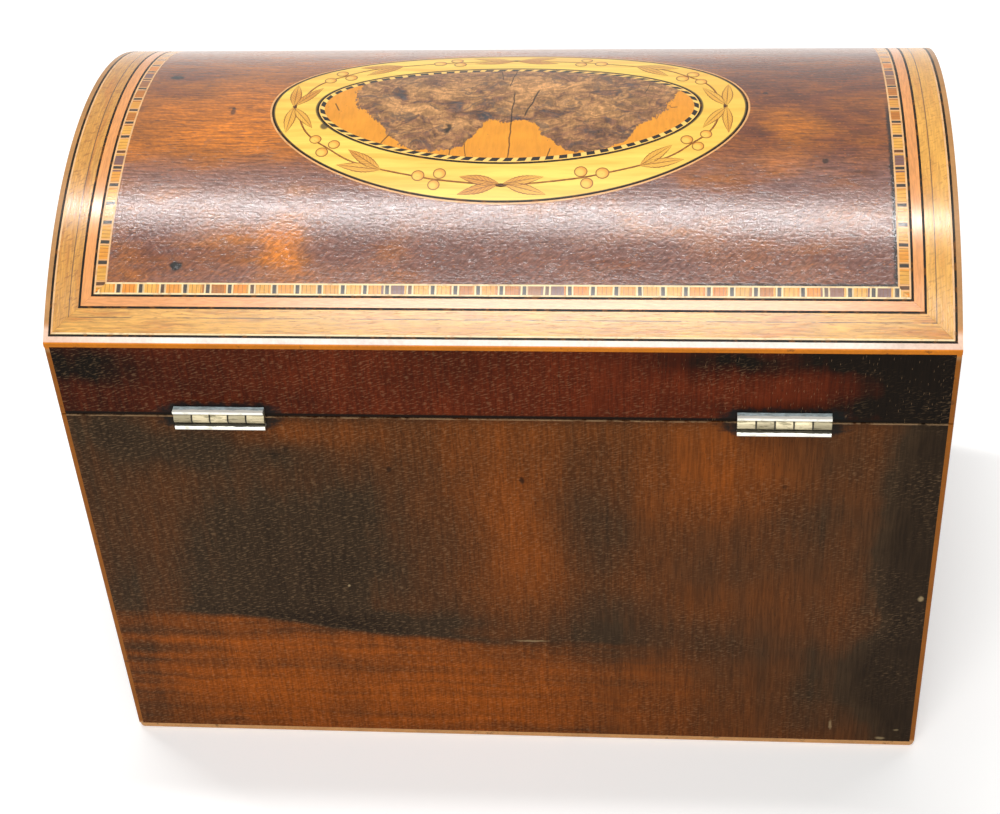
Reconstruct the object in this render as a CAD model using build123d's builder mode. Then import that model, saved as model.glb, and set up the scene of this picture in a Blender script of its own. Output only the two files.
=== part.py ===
from build123d import *
import os
from math import asin, cos, radians, sin, sqrt, tan

# Dome-topped double tea caddy. X runs along the box, the back with the hinges
# faces +Y, the front with the lock faces -Y, and the base stands on z = 0.

# Case and lid
case_width = 184.0
case_depth = 109.0
joint_height = 100.7
joint_gap = 0.3
lid_wall_height = 19.0
dome_rise = 21.2

# Boards and veneers
board_thickness = 7.0
veneer_thickness = 0.9
bottom_thickness = 6.0
partition_thickness = 5.0
lining_thickness = 2.5
stave_thickness = 5.5
stave_count = 5
glue_line = 0.02

# Dovetails that join the boards at the corners
case_tail_count = 4
lid_tail_count = 1
tail_share = 0.55
tail_slope = 1 / 7

# Boxwood stringing on the arrises
string_size = 1.1
base_string_height = 1.6
dome_string_long = 1.5
dome_string_end = 1.0
dome_string_depth = 1.3
worn_arris = 0.35
worn_base_corner = 1.4

# Inlaid bands of the dome, from the edge string inwards
black_line_width = 0.5
light_line_width = 0.35
wide_band_outer_width = 3.1
wide_band_inner_width = 1.95
plain_band_width = 2.0
ladder_band_width = 1.85

# Oval of the dome, half length by half width
oval_length = 51.0
oval_width = 28.3
oval_ring_width = 9.3
oval_line_width = 0.4
rope_width = 1.2

# Butt hinges with stopped shoulders
hinge_length = 19.0
hinge_inset = 33.9
knuckle_count = 5
knuckle_gap = 0.1
barrel_radius = 1.5
barrel_clearance = 0.2
axis_behind_back = 0.1
leaf_thickness = 0.9
leaf_reach = 7.5
shoulder_height = 2.4
shoulder_reach = 1.6
shoulder_depth = 2.4
stop_angle = 48.0
pin_radius = 0.65
pin_running_clearance = 0.03
seat_clearance = 0.05

# Countersunk screws
screw_head_radius = 1.4
screw_head_depth = 0.8
screw_radius = 0.7
screw_length = 6.0
screw_slot_width = 0.35
screw_slot_depth = 0.35
hinge_screw_spread = 5.4
hinge_screw_inset = 4.6

# Box lock
lock_width = 38.0
lock_height = 20.0
lock_plate_thickness = 1.0
lock_body_width = 27.0
lock_body_height = 18.0
lock_body_depth = 5.5
lock_wall = 0.8
lock_screw_spread = 16.4
lock_screw_drop = 16.0
key_pin_radius = 0.8
key_pin_length = 4.6
key_drop = 13.6
keyhole_radius = 1.7
keyhole_slot_width = 1.7
keyhole_slot_drop = 5.0
escutcheon_wall = 0.7
escutcheon_depth = 2.2

# Bolt and the staples of the link plate
bolt_travel = 3.2
bolt_thickness = 1.4
bolt_length = 20.0
bolt_bar_height = 3.4
bolt_top_drop = 6.1
prong_drop = 2.9
prong_height = 1.4
prong_root = 1.4
prong_rest_gap = 0.4
prong_root_clearance = 0.2
talon_width = 3.0
talon_depth = 1.4
staple_spread = 7.0
staple_length = 5.4
staple_width = 2.8
staple_thickness = 1.2
staple_eye_width = 1.8
staple_eye_height = 2.0
staple_eye_drop = 2.45
staple_slot_clearance = 0.4
spring_thickness = 0.4
spring_gap = 0.2
spring_length = 8.0
spring_rise = 1.2

# Inner lids and their turned knobs
inner_lid_thickness = 4.0
inner_lid_recess = 1.0
inner_lid_clearance = 0.4
knob_radius = 4.5
knob_height = 8.5
knob_foot_radius = 3.2
knob_foot_height = 0.9
knob_neck_radius = 1.7
knob_neck_height = 1.3
knob_button_radius = 1.2
knob_tenon_radius = 1.5

# Planes and lengths that follow from the sizes above
half_width = case_width / 2
half_depth = case_depth / 2
case_top = joint_height - joint_gap / 2
lid_bottom = joint_height + joint_gap / 2
spring_height = joint_height + lid_wall_height
dome_radius = (half_depth**2 + dome_rise**2) / (2 * dome_rise)
dome_centre = spring_height + dome_rise - dome_radius
crown_height = spring_height + dome_rise
core_x = half_width - veneer_thickness
core_y = half_depth - veneer_thickness
inner_x = core_x - board_thickness
inner_y = core_y - board_thickness
hinge_y = half_depth + axis_behind_back
hinge_spread = half_width - hinge_inset
ledge_height = case_top - inner_lid_recess - inner_lid_thickness
staves_angle = asin(inner_y / (dome_radius - veneer_thickness - stave_thickness))
lock_y = -inner_y
lock_front_y = lock_y - lock_body_depth
bolt_y = lock_y - (lock_body_depth + lock_plate_thickness - lock_wall) / 2
prong_length = prong_root + prong_root_clearance + bolt_travel - prong_rest_gap
string_mitre = 2 * (sqrt(2) * string_size + glue_line)


os.makedirs("parts", exist_ok=True)


def save(piece, label):
    """Labels a finished piece and writes it under its own name."""
    piece.part.label = label
    export_step(piece.part, f"parts/{label}.step")


def dome_height(y, depth=0.0):
    """Height of the dome at a distance y from its ridge, that far below its face."""
    return dome_centre + sqrt((dome_radius - depth) ** 2 - y**2)


def dome_arc_y(inset):
    """Distance from the ridge of a line that lies inset along the dome from its edge."""
    return dome_radius * sin(asin(half_depth / dome_radius) - inset / dome_radius)


def box(x_range, y_range, z_range):
    """A plain board between the given pairs of planes."""
    (x0, x1), (y0, y1), (z0, z1) = x_range, y_range, z_range
    with BuildPart() as board:
        with BuildSketch(Plane.XY.offset(z0)):
            with Locations(((x0 + x1) / 2, (y0 + y1) / 2)):
                Rectangle(x1 - x0, y1 - y0)
        extrude(amount=z1 - z0)
    return board.part


def dome_shell(outer_depth, inner_depth):
    """The layer of the dome between two depths below its face."""
    with BuildPart() as shell:
        with BuildSketch(Plane.YZ):
            with Locations((0, dome_centre)):
                Circle(dome_radius - outer_depth)
                Circle(dome_radius - inner_depth, mode=Mode.SUBTRACT)
            with Locations((0, spring_height)):
                Rectangle(case_depth, 2 * (dome_rise + veneer_thickness), mode=Mode.INTERSECT)
        extrude(amount=half_width, both=True)
    return shell.part


def dome_solid(depth):
    """Everything below the dome's face, down to the joint, that far below the face."""
    with BuildPart() as body:
        with BuildSketch(Plane.YZ):
            with Locations((0, dome_centre)):
                Circle(dome_radius - depth)
            with Locations((0, (lid_bottom + crown_height) / 2)):
                Rectangle(case_depth, crown_height - lid_bottom, mode=Mode.INTERSECT)
        extrude(amount=half_width, both=True)
    return body.part


def arrises(half_x, half_y, size, z_range):
    """The four square posts that stand in the corners of a rectangle."""
    low, high = z_range
    with BuildPart() as posts:
        with BuildSketch(Plane.XY.offset(low)):
            with GridLocations(2 * half_x - size, 2 * half_y - size, 2, 2):
                Rectangle(size, size)
        extrude(amount=high - low)
    return posts.part


def mitred_frame(outer, inner):
    """Draws four strips between two corner points, mitred with a glue line."""
    (xo, yo), (xi, yi) = outer, inner
    g = glue_line
    for side in (-1, 1):
        Polygon(
            (-xo + g, side * yo), (xo - g, side * yo), (xi - g, side * yi), (-xi + g, side * yi), align=None
        )
        Polygon(
            (side * xo, -yo + g), (side * xo, yo - g), (side * xi, yi - g), (side * xi, -yi + g), align=None
        )


def band_corner(distance):
    """Corner point, seen from above, of a line that far inside the edge string."""
    return half_width - dome_string_end - distance, dome_arc_y(dome_string_long + distance)


def dovetails(x, z_range, count):
    """Draws the tails of one board end, on the side where x is positive or negative."""
    low, high = z_range
    pitch = (high - low) / count
    side = 1 if x > 0 else -1
    root = tail_share * pitch / 2
    tip = root + tail_slope * board_thickness
    for i in range(count):
        z = low + pitch * (i + 0.5)
        Polygon(
            (x, z - root), (x + side * board_thickness, z - tip),
            (x + side * board_thickness, z + tip), (x, z + root), align=None
        )


def tails(y0, z_range, count):
    """The tails at both ends of a board whose outer face is the plane y0."""
    direction = -1 if y0 > 0 else 1
    with BuildPart() as both_ends:
        with BuildSketch(Plane.XZ.offset(-y0)):
            dovetails(inner_x, z_range, count)
            dovetails(-inner_x, z_range, count)
        extrude(amount=-direction * board_thickness)
    return both_ends.part


def screw_body(slot=True):
    """A countersunk screw that points down, with its head's face on z = 0."""
    with BuildPart() as screw:
        with BuildSketch(Plane.XZ):
            Polygon(
                (0, 0), (screw_head_radius, 0), (screw_radius, -screw_head_depth),
                (screw_radius, -screw_length + screw_radius), (0, -screw_length), align=None
            )
        revolve(axis=Axis.Z)
        if slot:
            with BuildSketch(Plane.XY):
                Rectangle(2 * screw_head_radius, screw_slot_width)
            extrude(amount=-screw_slot_depth, mode=Mode.SUBTRACT)
    return screw.part


def screws(points, slot=True):
    """Screws at points, each given as a plane whose normal leaves the head."""
    with BuildPart() as group:
        for plane in points:
            with Locations(plane):
                add(screw_body(slot))
    return group.part


# Planes of the heads of all screws
hinge_screw_y = hinge_y - hinge_screw_inset
case_hinge_screws = [
    Plane((x + s, hinge_screw_y, case_top))
    for x in (-hinge_spread, hinge_spread)
    for s in (-hinge_screw_spread, hinge_screw_spread)
]
lid_hinge_screws = [
    Plane((x + s, hinge_screw_y, lid_bottom), z_dir=(0, 0, -1))
    for x in (-hinge_spread, hinge_spread)
    for s in (-hinge_screw_spread, hinge_screw_spread)
]
lock_screw_planes = [
    Plane((x, lock_y, case_top - lock_screw_drop), z_dir=(0, 1, 0))
    for x in (-lock_screw_spread, lock_screw_spread)
] + [
    Plane((x, lock_y - lock_body_depth / 2, case_top))
    for x in (-lock_screw_spread, lock_screw_spread)
]
link_screw_planes = [
    Plane((x, lock_y - lock_body_depth / 2, lid_bottom), z_dir=(0, 0, -1))
    for x in (-lock_screw_spread, lock_screw_spread)
]


# Hinges: leaf, shoulder and knuckles are one section along the axis
knuckle_pitch = hinge_length / knuckle_count


def knuckle_spans(x, first):
    """Start and end of every second knuckle of the hinge whose middle is x."""
    start = x - hinge_length / 2
    spans = []
    for i in range(first, knuckle_count, 2):
        low = start + i * knuckle_pitch + (knuckle_gap / 2 if i > 0 else 0)
        high = start + (i + 1) * knuckle_pitch - (knuckle_gap / 2 if i < knuckle_count - 1 else 0)
        spans.append((low, high))
    return spans


def hinge_leaf(x, side, first, bore, screw_planes):
    """A leaf with its shoulder and knuckles; side is 1 for the lid and -1 for the case."""
    stop = radians(stop_angle)
    free = barrel_radius + barrel_clearance
    stop_root = (hinge_y + free * cos(stop), joint_height + side * free * sin(stop))
    stop_tip = (hinge_y + shoulder_reach, joint_height + side * shoulder_reach * tan(stop))
    leaf_near = joint_height + side * joint_gap / 2
    leaf_far = leaf_near + side * leaf_thickness
    shoulder_far = joint_height + side * shoulder_height
    with BuildPart() as leaf:
        with BuildSketch(Plane.YZ.offset(x - hinge_length / 2)):
            Polygon(
                (hinge_y - leaf_reach, leaf_near), (hinge_y, leaf_near), stop_root, stop_tip,
                (hinge_y + shoulder_reach, shoulder_far), (hinge_y - shoulder_depth, shoulder_far),
                (hinge_y - shoulder_depth, leaf_far), (hinge_y - leaf_reach, leaf_far), align=None
            )
            with Locations((hinge_y, joint_height)):
                Circle(free, mode=Mode.SUBTRACT)
        extrude(amount=hinge_length)
        for low, high in knuckle_spans(x, first):
            with BuildSketch(Plane.YZ.offset(low)):
                with Locations((hinge_y, joint_height)):
                    Circle(barrel_radius)
                Polygon(
                    (hinge_y - free - leaf_thickness, leaf_near), (hinge_y, leaf_near),
                    (hinge_y, leaf_far), (hinge_y - free - leaf_thickness, leaf_far), align=None
                )
            extrude(amount=high - low)
        with BuildSketch(Plane.YZ.offset(x - hinge_length / 2)):
            with Locations((hinge_y, joint_height)):
                Circle(bore)
        extrude(amount=hinge_length, mode=Mode.SUBTRACT)
        for plane in screw_planes:
            if abs(plane.origin.X - x) < hinge_length / 2:
                with Locations(plane):
                    add(screw_body(slot=False), mode=Mode.SUBTRACT)
    return leaf


def hinge_seat(side):
    """Room let into the wood for both hinges; side is 1 for the lid and -1 for the case."""
    c = seat_clearance
    leaf_far = joint_height + side * (joint_gap / 2 + leaf_thickness)
    shoulder_far = joint_height + side * (shoulder_height + c)
    with BuildPart() as seat:
        for x in (-hinge_spread, hinge_spread):
            with BuildSketch(Plane.YZ.offset(x - hinge_length / 2 - c)):
                Polygon(
                    (hinge_y - leaf_reach - c, joint_height), (hinge_y + shoulder_reach, joint_height),
                    (hinge_y + shoulder_reach, shoulder_far), (hinge_y - shoulder_depth - c, shoulder_far),
                    (hinge_y - shoulder_depth - c, leaf_far), (hinge_y - leaf_reach - c, leaf_far), align=None
                )
            extrude(amount=hinge_length + 2 * c)
    return seat.part


# Lock: the room for it in the front board, and the keyhole through the front
def lock_room():
    """Shallow seat of the back plate and deeper seat of the lock's body."""
    with BuildPart() as room:
        with BuildSketch(Plane.XZ.offset(-lock_y)):
            with Locations((0, case_top - lock_height / 2)):
                Rectangle(lock_width, lock_height)
        extrude(amount=lock_plate_thickness)
        with BuildSketch(Plane.XZ.offset(-lock_y)):
            with Locations((0, case_top - lock_body_height / 2)):
                Rectangle(lock_body_width, lock_body_height)
        extrude(amount=lock_body_depth)
        with BuildSketch(Plane.XY.offset(case_top)):
            with Locations((0, lock_y - lock_body_depth / 2)):
                Rectangle(lock_width, lock_body_depth)
        extrude(amount=-lock_plate_thickness)
    return room.part


def keyhole(grow):
    """Draws the keyhole, larger all round by grow."""
    with Locations((0, case_top - key_drop)):
        Circle(keyhole_radius + grow)
    with Locations((0, case_top - key_drop - keyhole_slot_drop / 2)):
        Rectangle(keyhole_slot_width + 2 * grow, keyhole_slot_drop + 2 * grow)


def keyway(grow, near_y, length):
    """The keyhole as a solid that runs from near_y towards the inside."""
    with BuildPart() as way:
        with BuildSketch(Plane.XZ.offset(-near_y)):
            keyhole(grow)
        extrude(amount=-length)
    return way.part


# Stringing comes first, because the boards and veneers are rebated for it
with BuildPart() as case_corner_strings:
    add(arrises(half_width, half_depth, string_size, (base_string_height, case_top)))
    worn = case_corner_strings.edges().filter_by(Axis.Z).sort_by(
        lambda edge: abs(edge.center().X) + abs(edge.center().Y)
    )[-4:]
    fillet(worn, radius=worn_arris)
save(case_corner_strings, "case_corner_strings")

with BuildPart() as case_base_string:
    with BuildSketch():
        RectangleRounded(case_width, case_depth, worn_base_corner)
        Rectangle(case_width - 2 * string_size, case_depth - 2 * string_size, mode=Mode.SUBTRACT)
    extrude(amount=base_string_height)
    with BuildSketch():
        for turn in (1, -1):
            with Locations((turn * half_width, half_depth), (-turn * half_width, -half_depth)):
                Rectangle(string_mitre, glue_line, rotation=turn * 45)
    extrude(amount=base_string_height, mode=Mode.SUBTRACT)
    base_edges = case_base_string.faces().sort_by(Axis.Z)[0:4].edges().filter_by(GeomType.LINE)
    outer_edges = base_edges.filter_by(
        lambda edge: max(abs(edge.center().X) - half_width, abs(edge.center().Y) - half_depth) > -glue_line
    )
    chamfer(outer_edges, length=worn_arris)
save(case_base_string, "case_base_string")

# Slab of height that holds the dome's whole face and its veneer
under_dome = Plane.XY.offset(spring_height - 2 * veneer_thickness)
slab_height = dome_rise + 4 * veneer_thickness

with BuildPart() as dome_edge_strings:
    with BuildSketch(under_dome):
        mitred_frame((half_width, half_depth), band_corner(0))
    extrude(amount=slab_height)
    with BuildSketch(Plane.YZ.offset(-half_width)):
        with Locations((0, dome_centre)):
            Circle(dome_radius)
            Circle(dome_radius - dome_string_depth, mode=Mode.SUBTRACT)
        with Locations((0, spring_height + dome_rise)):
            Rectangle(case_depth, 2 * (dome_rise + veneer_thickness), mode=Mode.INTERSECT)
        Polygon(
            (half_depth, spring_height - veneer_thickness), (half_depth, spring_height),
            (band_corner(0)[1], dome_height(band_corner(0)[1])),
            (band_corner(0)[1], spring_height - veneer_thickness), align=None
        )
        mirror(about=Plane.XZ)
    extrude(amount=case_width, mode=Mode.INTERSECT)
save(dome_edge_strings, "dome_edge_strings")

with BuildPart() as lid_corner_strings:
    add(arrises(half_width, half_depth, string_size, (lid_bottom, spring_height)))
    worn = lid_corner_strings.edges().filter_by(Axis.Z).sort_by(
        lambda edge: abs(edge.center().X) + abs(edge.center().Y)
    )[-4:]
    fillet(worn, radius=worn_arris)
    add(dome_solid(0), mode=Mode.INTERSECT)
    add(dome_edge_strings.part, mode=Mode.SUBTRACT)
save(lid_corner_strings, "lid_corner_strings")

# Case carcass
case_z = (0, case_top)
with BuildPart() as case_bottom:
    add(box((-inner_x, inner_x), (-inner_y, inner_y), (0, bottom_thickness)))
save(case_bottom, "case_bottom")

with BuildPart() as case_front:
    add(box((-inner_x, inner_x), (-core_y, -inner_y), case_z))
    add(tails(-core_y, case_z, case_tail_count))
    add(case_corner_strings.part, mode=Mode.SUBTRACT)
    add(case_base_string.part, mode=Mode.SUBTRACT)
    add(lock_room(), mode=Mode.SUBTRACT)
    add(keyway(escutcheon_wall, -half_depth, escutcheon_depth), mode=Mode.SUBTRACT)
    add(keyway(0, -half_depth, board_thickness), mode=Mode.SUBTRACT)
    add(screws(lock_screw_planes, slot=False), mode=Mode.SUBTRACT)
save(case_front, "case_front")

with BuildPart() as case_back:
    add(box((-inner_x, inner_x), (inner_y, core_y), case_z))
    add(tails(core_y, case_z, case_tail_count))
    add(case_corner_strings.part, mode=Mode.SUBTRACT)
    add(case_base_string.part, mode=Mode.SUBTRACT)
    add(hinge_seat(-1), mode=Mode.SUBTRACT)
    add(screws(case_hinge_screws, slot=False), mode=Mode.SUBTRACT)
save(case_back, "case_back")

for side, name in ((-1, "left"), (1, "right")):
    x_range = sorted((side * inner_x, side * core_x))
    with BuildPart() as case_end:
        add(box(x_range, (-core_y, core_y), case_z))
        add(tails(-core_y, case_z, case_tail_count), mode=Mode.SUBTRACT)
        add(tails(core_y, case_z, case_tail_count), mode=Mode.SUBTRACT)
        add(case_corner_strings.part, mode=Mode.SUBTRACT)
        add(case_base_string.part, mode=Mode.SUBTRACT)
    save(case_end, f"case_{name}_end")

with BuildPart() as partition:
    add(box(
        (-partition_thickness / 2, partition_thickness / 2), (-inner_y, inner_y),
        (bottom_thickness, case_top - inner_lid_recess)
    ))
save(partition, "partition")

# Linings of the two compartments, whose top edges carry the inner lids
cell_near = partition_thickness / 2
for side, name in ((-1, "left"), (1, "right")):
    with BuildPart() as lining:
        with BuildSketch(Plane.XY.offset(bottom_thickness)):
            centre = side * (cell_near + inner_x) / 2
            with Locations((centre, 0)):
                Rectangle(inner_x - cell_near, 2 * inner_y)
                Rectangle(
                    inner_x - cell_near - 2 * lining_thickness, 2 * (inner_y - lining_thickness),
                    mode=Mode.SUBTRACT
                )
            for x in (side * (cell_near + lining_thickness), side * (inner_x - lining_thickness)):
                with Locations((x, 0)):
                    Rectangle(glue_line, 2 * inner_y, mode=Mode.SUBTRACT)
        extrude(amount=ledge_height - bottom_thickness)
    save(lining, f"{name}_lining")

# Veneers of the case
panel_x = half_width - string_size
panel_y = half_depth - string_size
case_panel_z = (base_string_height, case_top)
with BuildPart() as case_front_veneer:
    add(box((-panel_x, panel_x), (-half_depth, -core_y), case_panel_z))
    add(keyway(escutcheon_wall, -half_depth, veneer_thickness), mode=Mode.SUBTRACT)
save(case_front_veneer, "case_front_veneer")

with BuildPart() as case_back_veneer:
    add(box((-panel_x, panel_x), (core_y, half_depth), case_panel_z))
    add(hinge_seat(-1), mode=Mode.SUBTRACT)
save(case_back_veneer, "case_back_veneer")

for side, name in ((-1, "left"), (1, "right")):
    with BuildPart() as end_veneer:
        add(box(sorted((side * core_x, side * half_width)), (-panel_y, panel_y), case_panel_z))
    save(end_veneer, f"case_{name}_end_veneer")

# Lid frame: two rails dovetailed into arched ends
rail_top = (
    (dome_radius - veneer_thickness) * sin(staves_angle),
    dome_centre + (dome_radius - veneer_thickness) * cos(staves_angle),
)
lid_tail_z = (lid_bottom, dome_height(core_y, veneer_thickness))


def lid_rail(side):
    """The front or back rail, whose top carries on the curve of the dome."""
    with BuildPart() as rail:
        with BuildSketch(Plane.YZ.offset(-inner_x)):
            Polygon(
                (side * inner_y, lid_bottom), (side * core_y, lid_bottom),
                (side * core_y, spring_height + dome_rise), (side * rail_top[0], spring_height + dome_rise),
                (side * rail_top[0], rail_top[1]),
                (side * inner_y, dome_height(inner_y, veneer_thickness + stave_thickness)), align=None
            )
            with Locations((0, dome_centre)):
                Circle(dome_radius - veneer_thickness, mode=Mode.INTERSECT)
        extrude(amount=2 * inner_x)
        add(tails(side * core_y, lid_tail_z, lid_tail_count))
        add(lid_corner_strings.part, mode=Mode.SUBTRACT)
        add(dome_edge_strings.part, mode=Mode.SUBTRACT)
    return rail


with BuildPart() as lid_front_rail:
    add(lid_rail(-1).part)
    link_x = lock_width / 2
    add(
        box((-link_x, link_x), (lock_front_y, lock_y), (lid_bottom, lid_bottom + lock_plate_thickness)),
        mode=Mode.SUBTRACT
    )
    add(screws(link_screw_planes, slot=False), mode=Mode.SUBTRACT)
save(lid_front_rail, "lid_front_rail")

with BuildPart() as lid_back_rail:
    add(lid_rail(1).part)
    add(hinge_seat(1), mode=Mode.SUBTRACT)
    add(screws(lid_hinge_screws, slot=False), mode=Mode.SUBTRACT)
save(lid_back_rail, "lid_back_rail")

for side, name in ((-1, "left"), (1, "right")):
    with BuildPart() as lid_end:
        add(box(sorted((side * inner_x, side * core_x)), (-core_y, core_y), (lid_bottom, crown_height)))
        add(dome_solid(veneer_thickness), mode=Mode.INTERSECT)
        add(tails(-core_y, lid_tail_z, lid_tail_count), mode=Mode.SUBTRACT)
        add(tails(core_y, lid_tail_z, lid_tail_count), mode=Mode.SUBTRACT)
        add(lid_corner_strings.part, mode=Mode.SUBTRACT)
        add(dome_edge_strings.part, mode=Mode.SUBTRACT)
    save(lid_end, f"lid_{name}_end")

# Coopered top: staves with radial joints between the ends
with BuildPart() as lid_staves:
    outer_radius = dome_radius - veneer_thickness
    inner_radius = outer_radius - stave_thickness
    stave_angle = 2 * staves_angle / stave_count
    for i in range(stave_count):
        low = -staves_angle + i * stave_angle + glue_line / outer_radius
        high = low + stave_angle - 2 * glue_line / outer_radius
        middle = (low + high) / 2
        with BuildSketch(Plane.YZ.offset(-inner_x)):
            with BuildLine():
                points = [
                    [(r * sin(a), dome_centre + r * cos(a)) for a in (low, middle, high)]
                    for r in (outer_radius, inner_radius)
                ]
                ThreePointArc(*points[0])
                Line(points[0][2], points[1][2])
                ThreePointArc(*reversed(points[1]))
                Line(points[1][0], points[0][0])
            make_face()
        extrude(amount=2 * inner_x)
save(lid_staves, "lid_staves")

# Veneers of the lid's sides
for side, name in ((-1, "front"), (1, "back")):
    with BuildPart() as lid_veneer:
        add(box((-panel_x, panel_x), sorted((side * core_y, side * half_depth)), (lid_bottom, spring_height)))
        add(dome_edge_strings.part, mode=Mode.SUBTRACT)
        if side > 0:
            add(hinge_seat(1), mode=Mode.SUBTRACT)
    save(lid_veneer, f"lid_{name}_veneer")

for side, name in ((-1, "left"), (1, "right")):
    with BuildPart() as lid_end_veneer:
        add(box(sorted((side * core_x, side * half_width)), (-panel_y, panel_y), (lid_bottom, crown_height)))
        add(dome_solid(0), mode=Mode.INTERSECT)
        add(dome_edge_strings.part, mode=Mode.SUBTRACT)
    save(lid_end_veneer, f"lid_{name}_end_veneer")

# Marquetry of the dome: mitred bands, each flush in the veneer's thickness
marquetry = dome_shell(0, veneer_thickness)


def marquetry_bands(spans):
    """Mitred bands, each from one distance inside the edge string to another."""
    with BuildPart() as bands:
        with BuildSketch(under_dome):
            for near, far in spans:
                mitred_frame(band_corner(near), band_corner(far))
        extrude(amount=slab_height)
        add(marquetry, mode=Mode.INTERSECT)
    return bands


band_order = [
    ("black", black_line_width),
    ("light", light_line_width),
    ("wide_band_outer", wide_band_outer_width),
    ("wide_band_inner", wide_band_inner_width),
    ("black", black_line_width),
    ("plain_band", plain_band_width),
    ("black", black_line_width),
    ("light", light_line_width),
    ("ladder_band", ladder_band_width),
    ("light", light_line_width),
]
spans = {}
field_inset = 0.0
for name, width in band_order:
    spans.setdefault(name, []).append((field_inset, field_inset + width))
    field_inset += width
for name, label in (
    ("black", "dome_black_lines"),
    ("light", "dome_light_lines"),
    ("wide_band_outer", "dome_wide_band_outer"),
    ("wide_band_inner", "dome_wide_band_inner"),
    ("plain_band", "dome_plain_band"),
    ("ladder_band", "dome_ladder_band"),
):
    save(marquetry_bands(spans[name]), label)

with BuildPart() as dome_field:
    with BuildSketch(under_dome):
        field_x, field_y = band_corner(field_inset)
        Rectangle(2 * field_x, 2 * field_y)
        Ellipse(oval_length, oval_width, mode=Mode.SUBTRACT)
    extrude(amount=slab_height)
    add(marquetry, mode=Mode.INTERSECT)
save(dome_field, "dome_field")


def oval_band(inset, width):
    """An oval ring of the marquetry, that far inside the oval's outline."""
    with BuildPart() as ring:
        with BuildSketch(under_dome):
            Ellipse(oval_length - inset, oval_width - inset)
            if width:
                Ellipse(oval_length - inset - width, oval_width - inset - width, mode=Mode.SUBTRACT)
        extrude(amount=slab_height)
        add(marquetry, mode=Mode.INTERSECT)
    return ring


ring_start = 2 * oval_line_width
rope_start = ring_start + oval_ring_width + oval_line_width
save(oval_band(0, oval_line_width), "oval_light_line")
with BuildPart() as oval_black_lines:
    add(oval_band(oval_line_width, oval_line_width).part)
    add(oval_band(ring_start + oval_ring_width, oval_line_width).part)
save(oval_black_lines, "oval_black_lines")
save(oval_band(ring_start, oval_ring_width), "oval_garland_ring")
save(oval_band(rope_start, rope_width), "oval_rope_string")
save(oval_band(rope_start + rope_width, 0), "oval_burr_panel")

# Hinges
for x, name in ((-hinge_spread, "left"), (hinge_spread, "right")):
    save(hinge_leaf(x, -1, 0, pin_radius, case_hinge_screws), f"{name}_hinge_case_leaf")
    save(
        hinge_leaf(x, 1, 1, pin_radius + pin_running_clearance, lid_hinge_screws),
        f"{name}_hinge_lid_leaf"
    )

with BuildPart() as hinge_pins:
    for x in (-hinge_spread, hinge_spread):
        with BuildSketch(Plane.YZ.offset(x - hinge_length / 2)):
            with Locations((hinge_y, joint_height)):
                Circle(pin_radius)
        extrude(amount=hinge_length)
save(hinge_pins, "hinge_pins")

with BuildPart() as hinge_case_screws:
    add(screws(case_hinge_screws))
save(hinge_case_screws, "hinge_case_screws")

with BuildPart() as hinge_lid_screws:
    add(screws(lid_hinge_screws))
save(hinge_lid_screws, "hinge_lid_screws")

# Lock plate: back plate and selvedge in one, with the slots of the staples
with BuildPart() as lock_plate:
    with BuildSketch(Plane.XZ.offset(-lock_y)):
        with Locations((0, case_top - lock_height / 2)):
            Rectangle(lock_width, lock_height)
    extrude(amount=lock_plate_thickness)
    with BuildSketch(Plane.XY.offset(case_top)):
        with Locations((0, lock_y - lock_body_depth / 2)):
            Rectangle(lock_width, lock_body_depth)
    extrude(amount=-lock_plate_thickness)
    with BuildSketch(Plane.XY.offset(case_top)):
        with Locations((-staple_spread, bolt_y), (staple_spread, bolt_y)):
            Rectangle(
                staple_thickness + 2 * staple_slot_clearance, staple_width + 2 * staple_slot_clearance
            )
    extrude(amount=-lock_plate_thickness, mode=Mode.SUBTRACT)
    add(screws(lock_screw_planes, slot=False), mode=Mode.SUBTRACT)
save(lock_plate, "lock_plate")

with BuildPart() as lock_cap:
    cap_top = case_top - lock_plate_thickness
    cap_height = lock_body_height - lock_plate_thickness
    cap_depth = lock_body_depth - lock_plate_thickness
    with BuildSketch(Plane.XZ.offset(-lock_y + lock_plate_thickness)):
        with Locations((0, cap_top - cap_height / 2)):
            Rectangle(lock_body_width, cap_height)
    extrude(amount=cap_depth)
    with BuildSketch(Plane.XZ.offset(-lock_y + lock_plate_thickness)):
        with Locations((0, cap_top - (cap_height - lock_wall) / 2)):
            Rectangle(lock_body_width - 2 * lock_wall, cap_height - lock_wall)
    extrude(amount=cap_depth - lock_wall, mode=Mode.SUBTRACT)
    add(keyway(0, lock_front_y, lock_wall), mode=Mode.SUBTRACT)
save(lock_cap, "lock_cap")

with BuildPart() as lock_key_pin:
    with BuildSketch(Plane.XZ.offset(-lock_y + lock_plate_thickness)):
        with Locations((0, case_top - key_drop)):
            Circle(key_pin_radius)
    extrude(amount=key_pin_length)
save(lock_key_pin, "lock_key_pin")

with BuildPart() as lock_spring:
    foot_x = -lock_body_width / 2 + lock_wall + spring_gap
    tip_z = case_top - bolt_top_drop - bolt_bar_height - spring_gap
    foot_z = tip_z - spring_rise
    bend = (foot_x + spring_length / 2, foot_z)
    tip = (foot_x + spring_length, tip_z)
    with BuildSketch(Plane.XZ.offset(-bolt_y - bolt_thickness / 2)):
        Polygon(
            (foot_x, foot_z), bend, tip, (tip[0], tip[1] - spring_thickness),
            (bend[0], bend[1] - spring_thickness), (foot_x, foot_z - spring_thickness), align=None
        )
    extrude(amount=bolt_thickness)
save(lock_spring, "lock_spring")

with BuildPart() as lock_screws:
    add(screws(lock_screw_planes))
save(lock_screws, "lock_screws")

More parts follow.
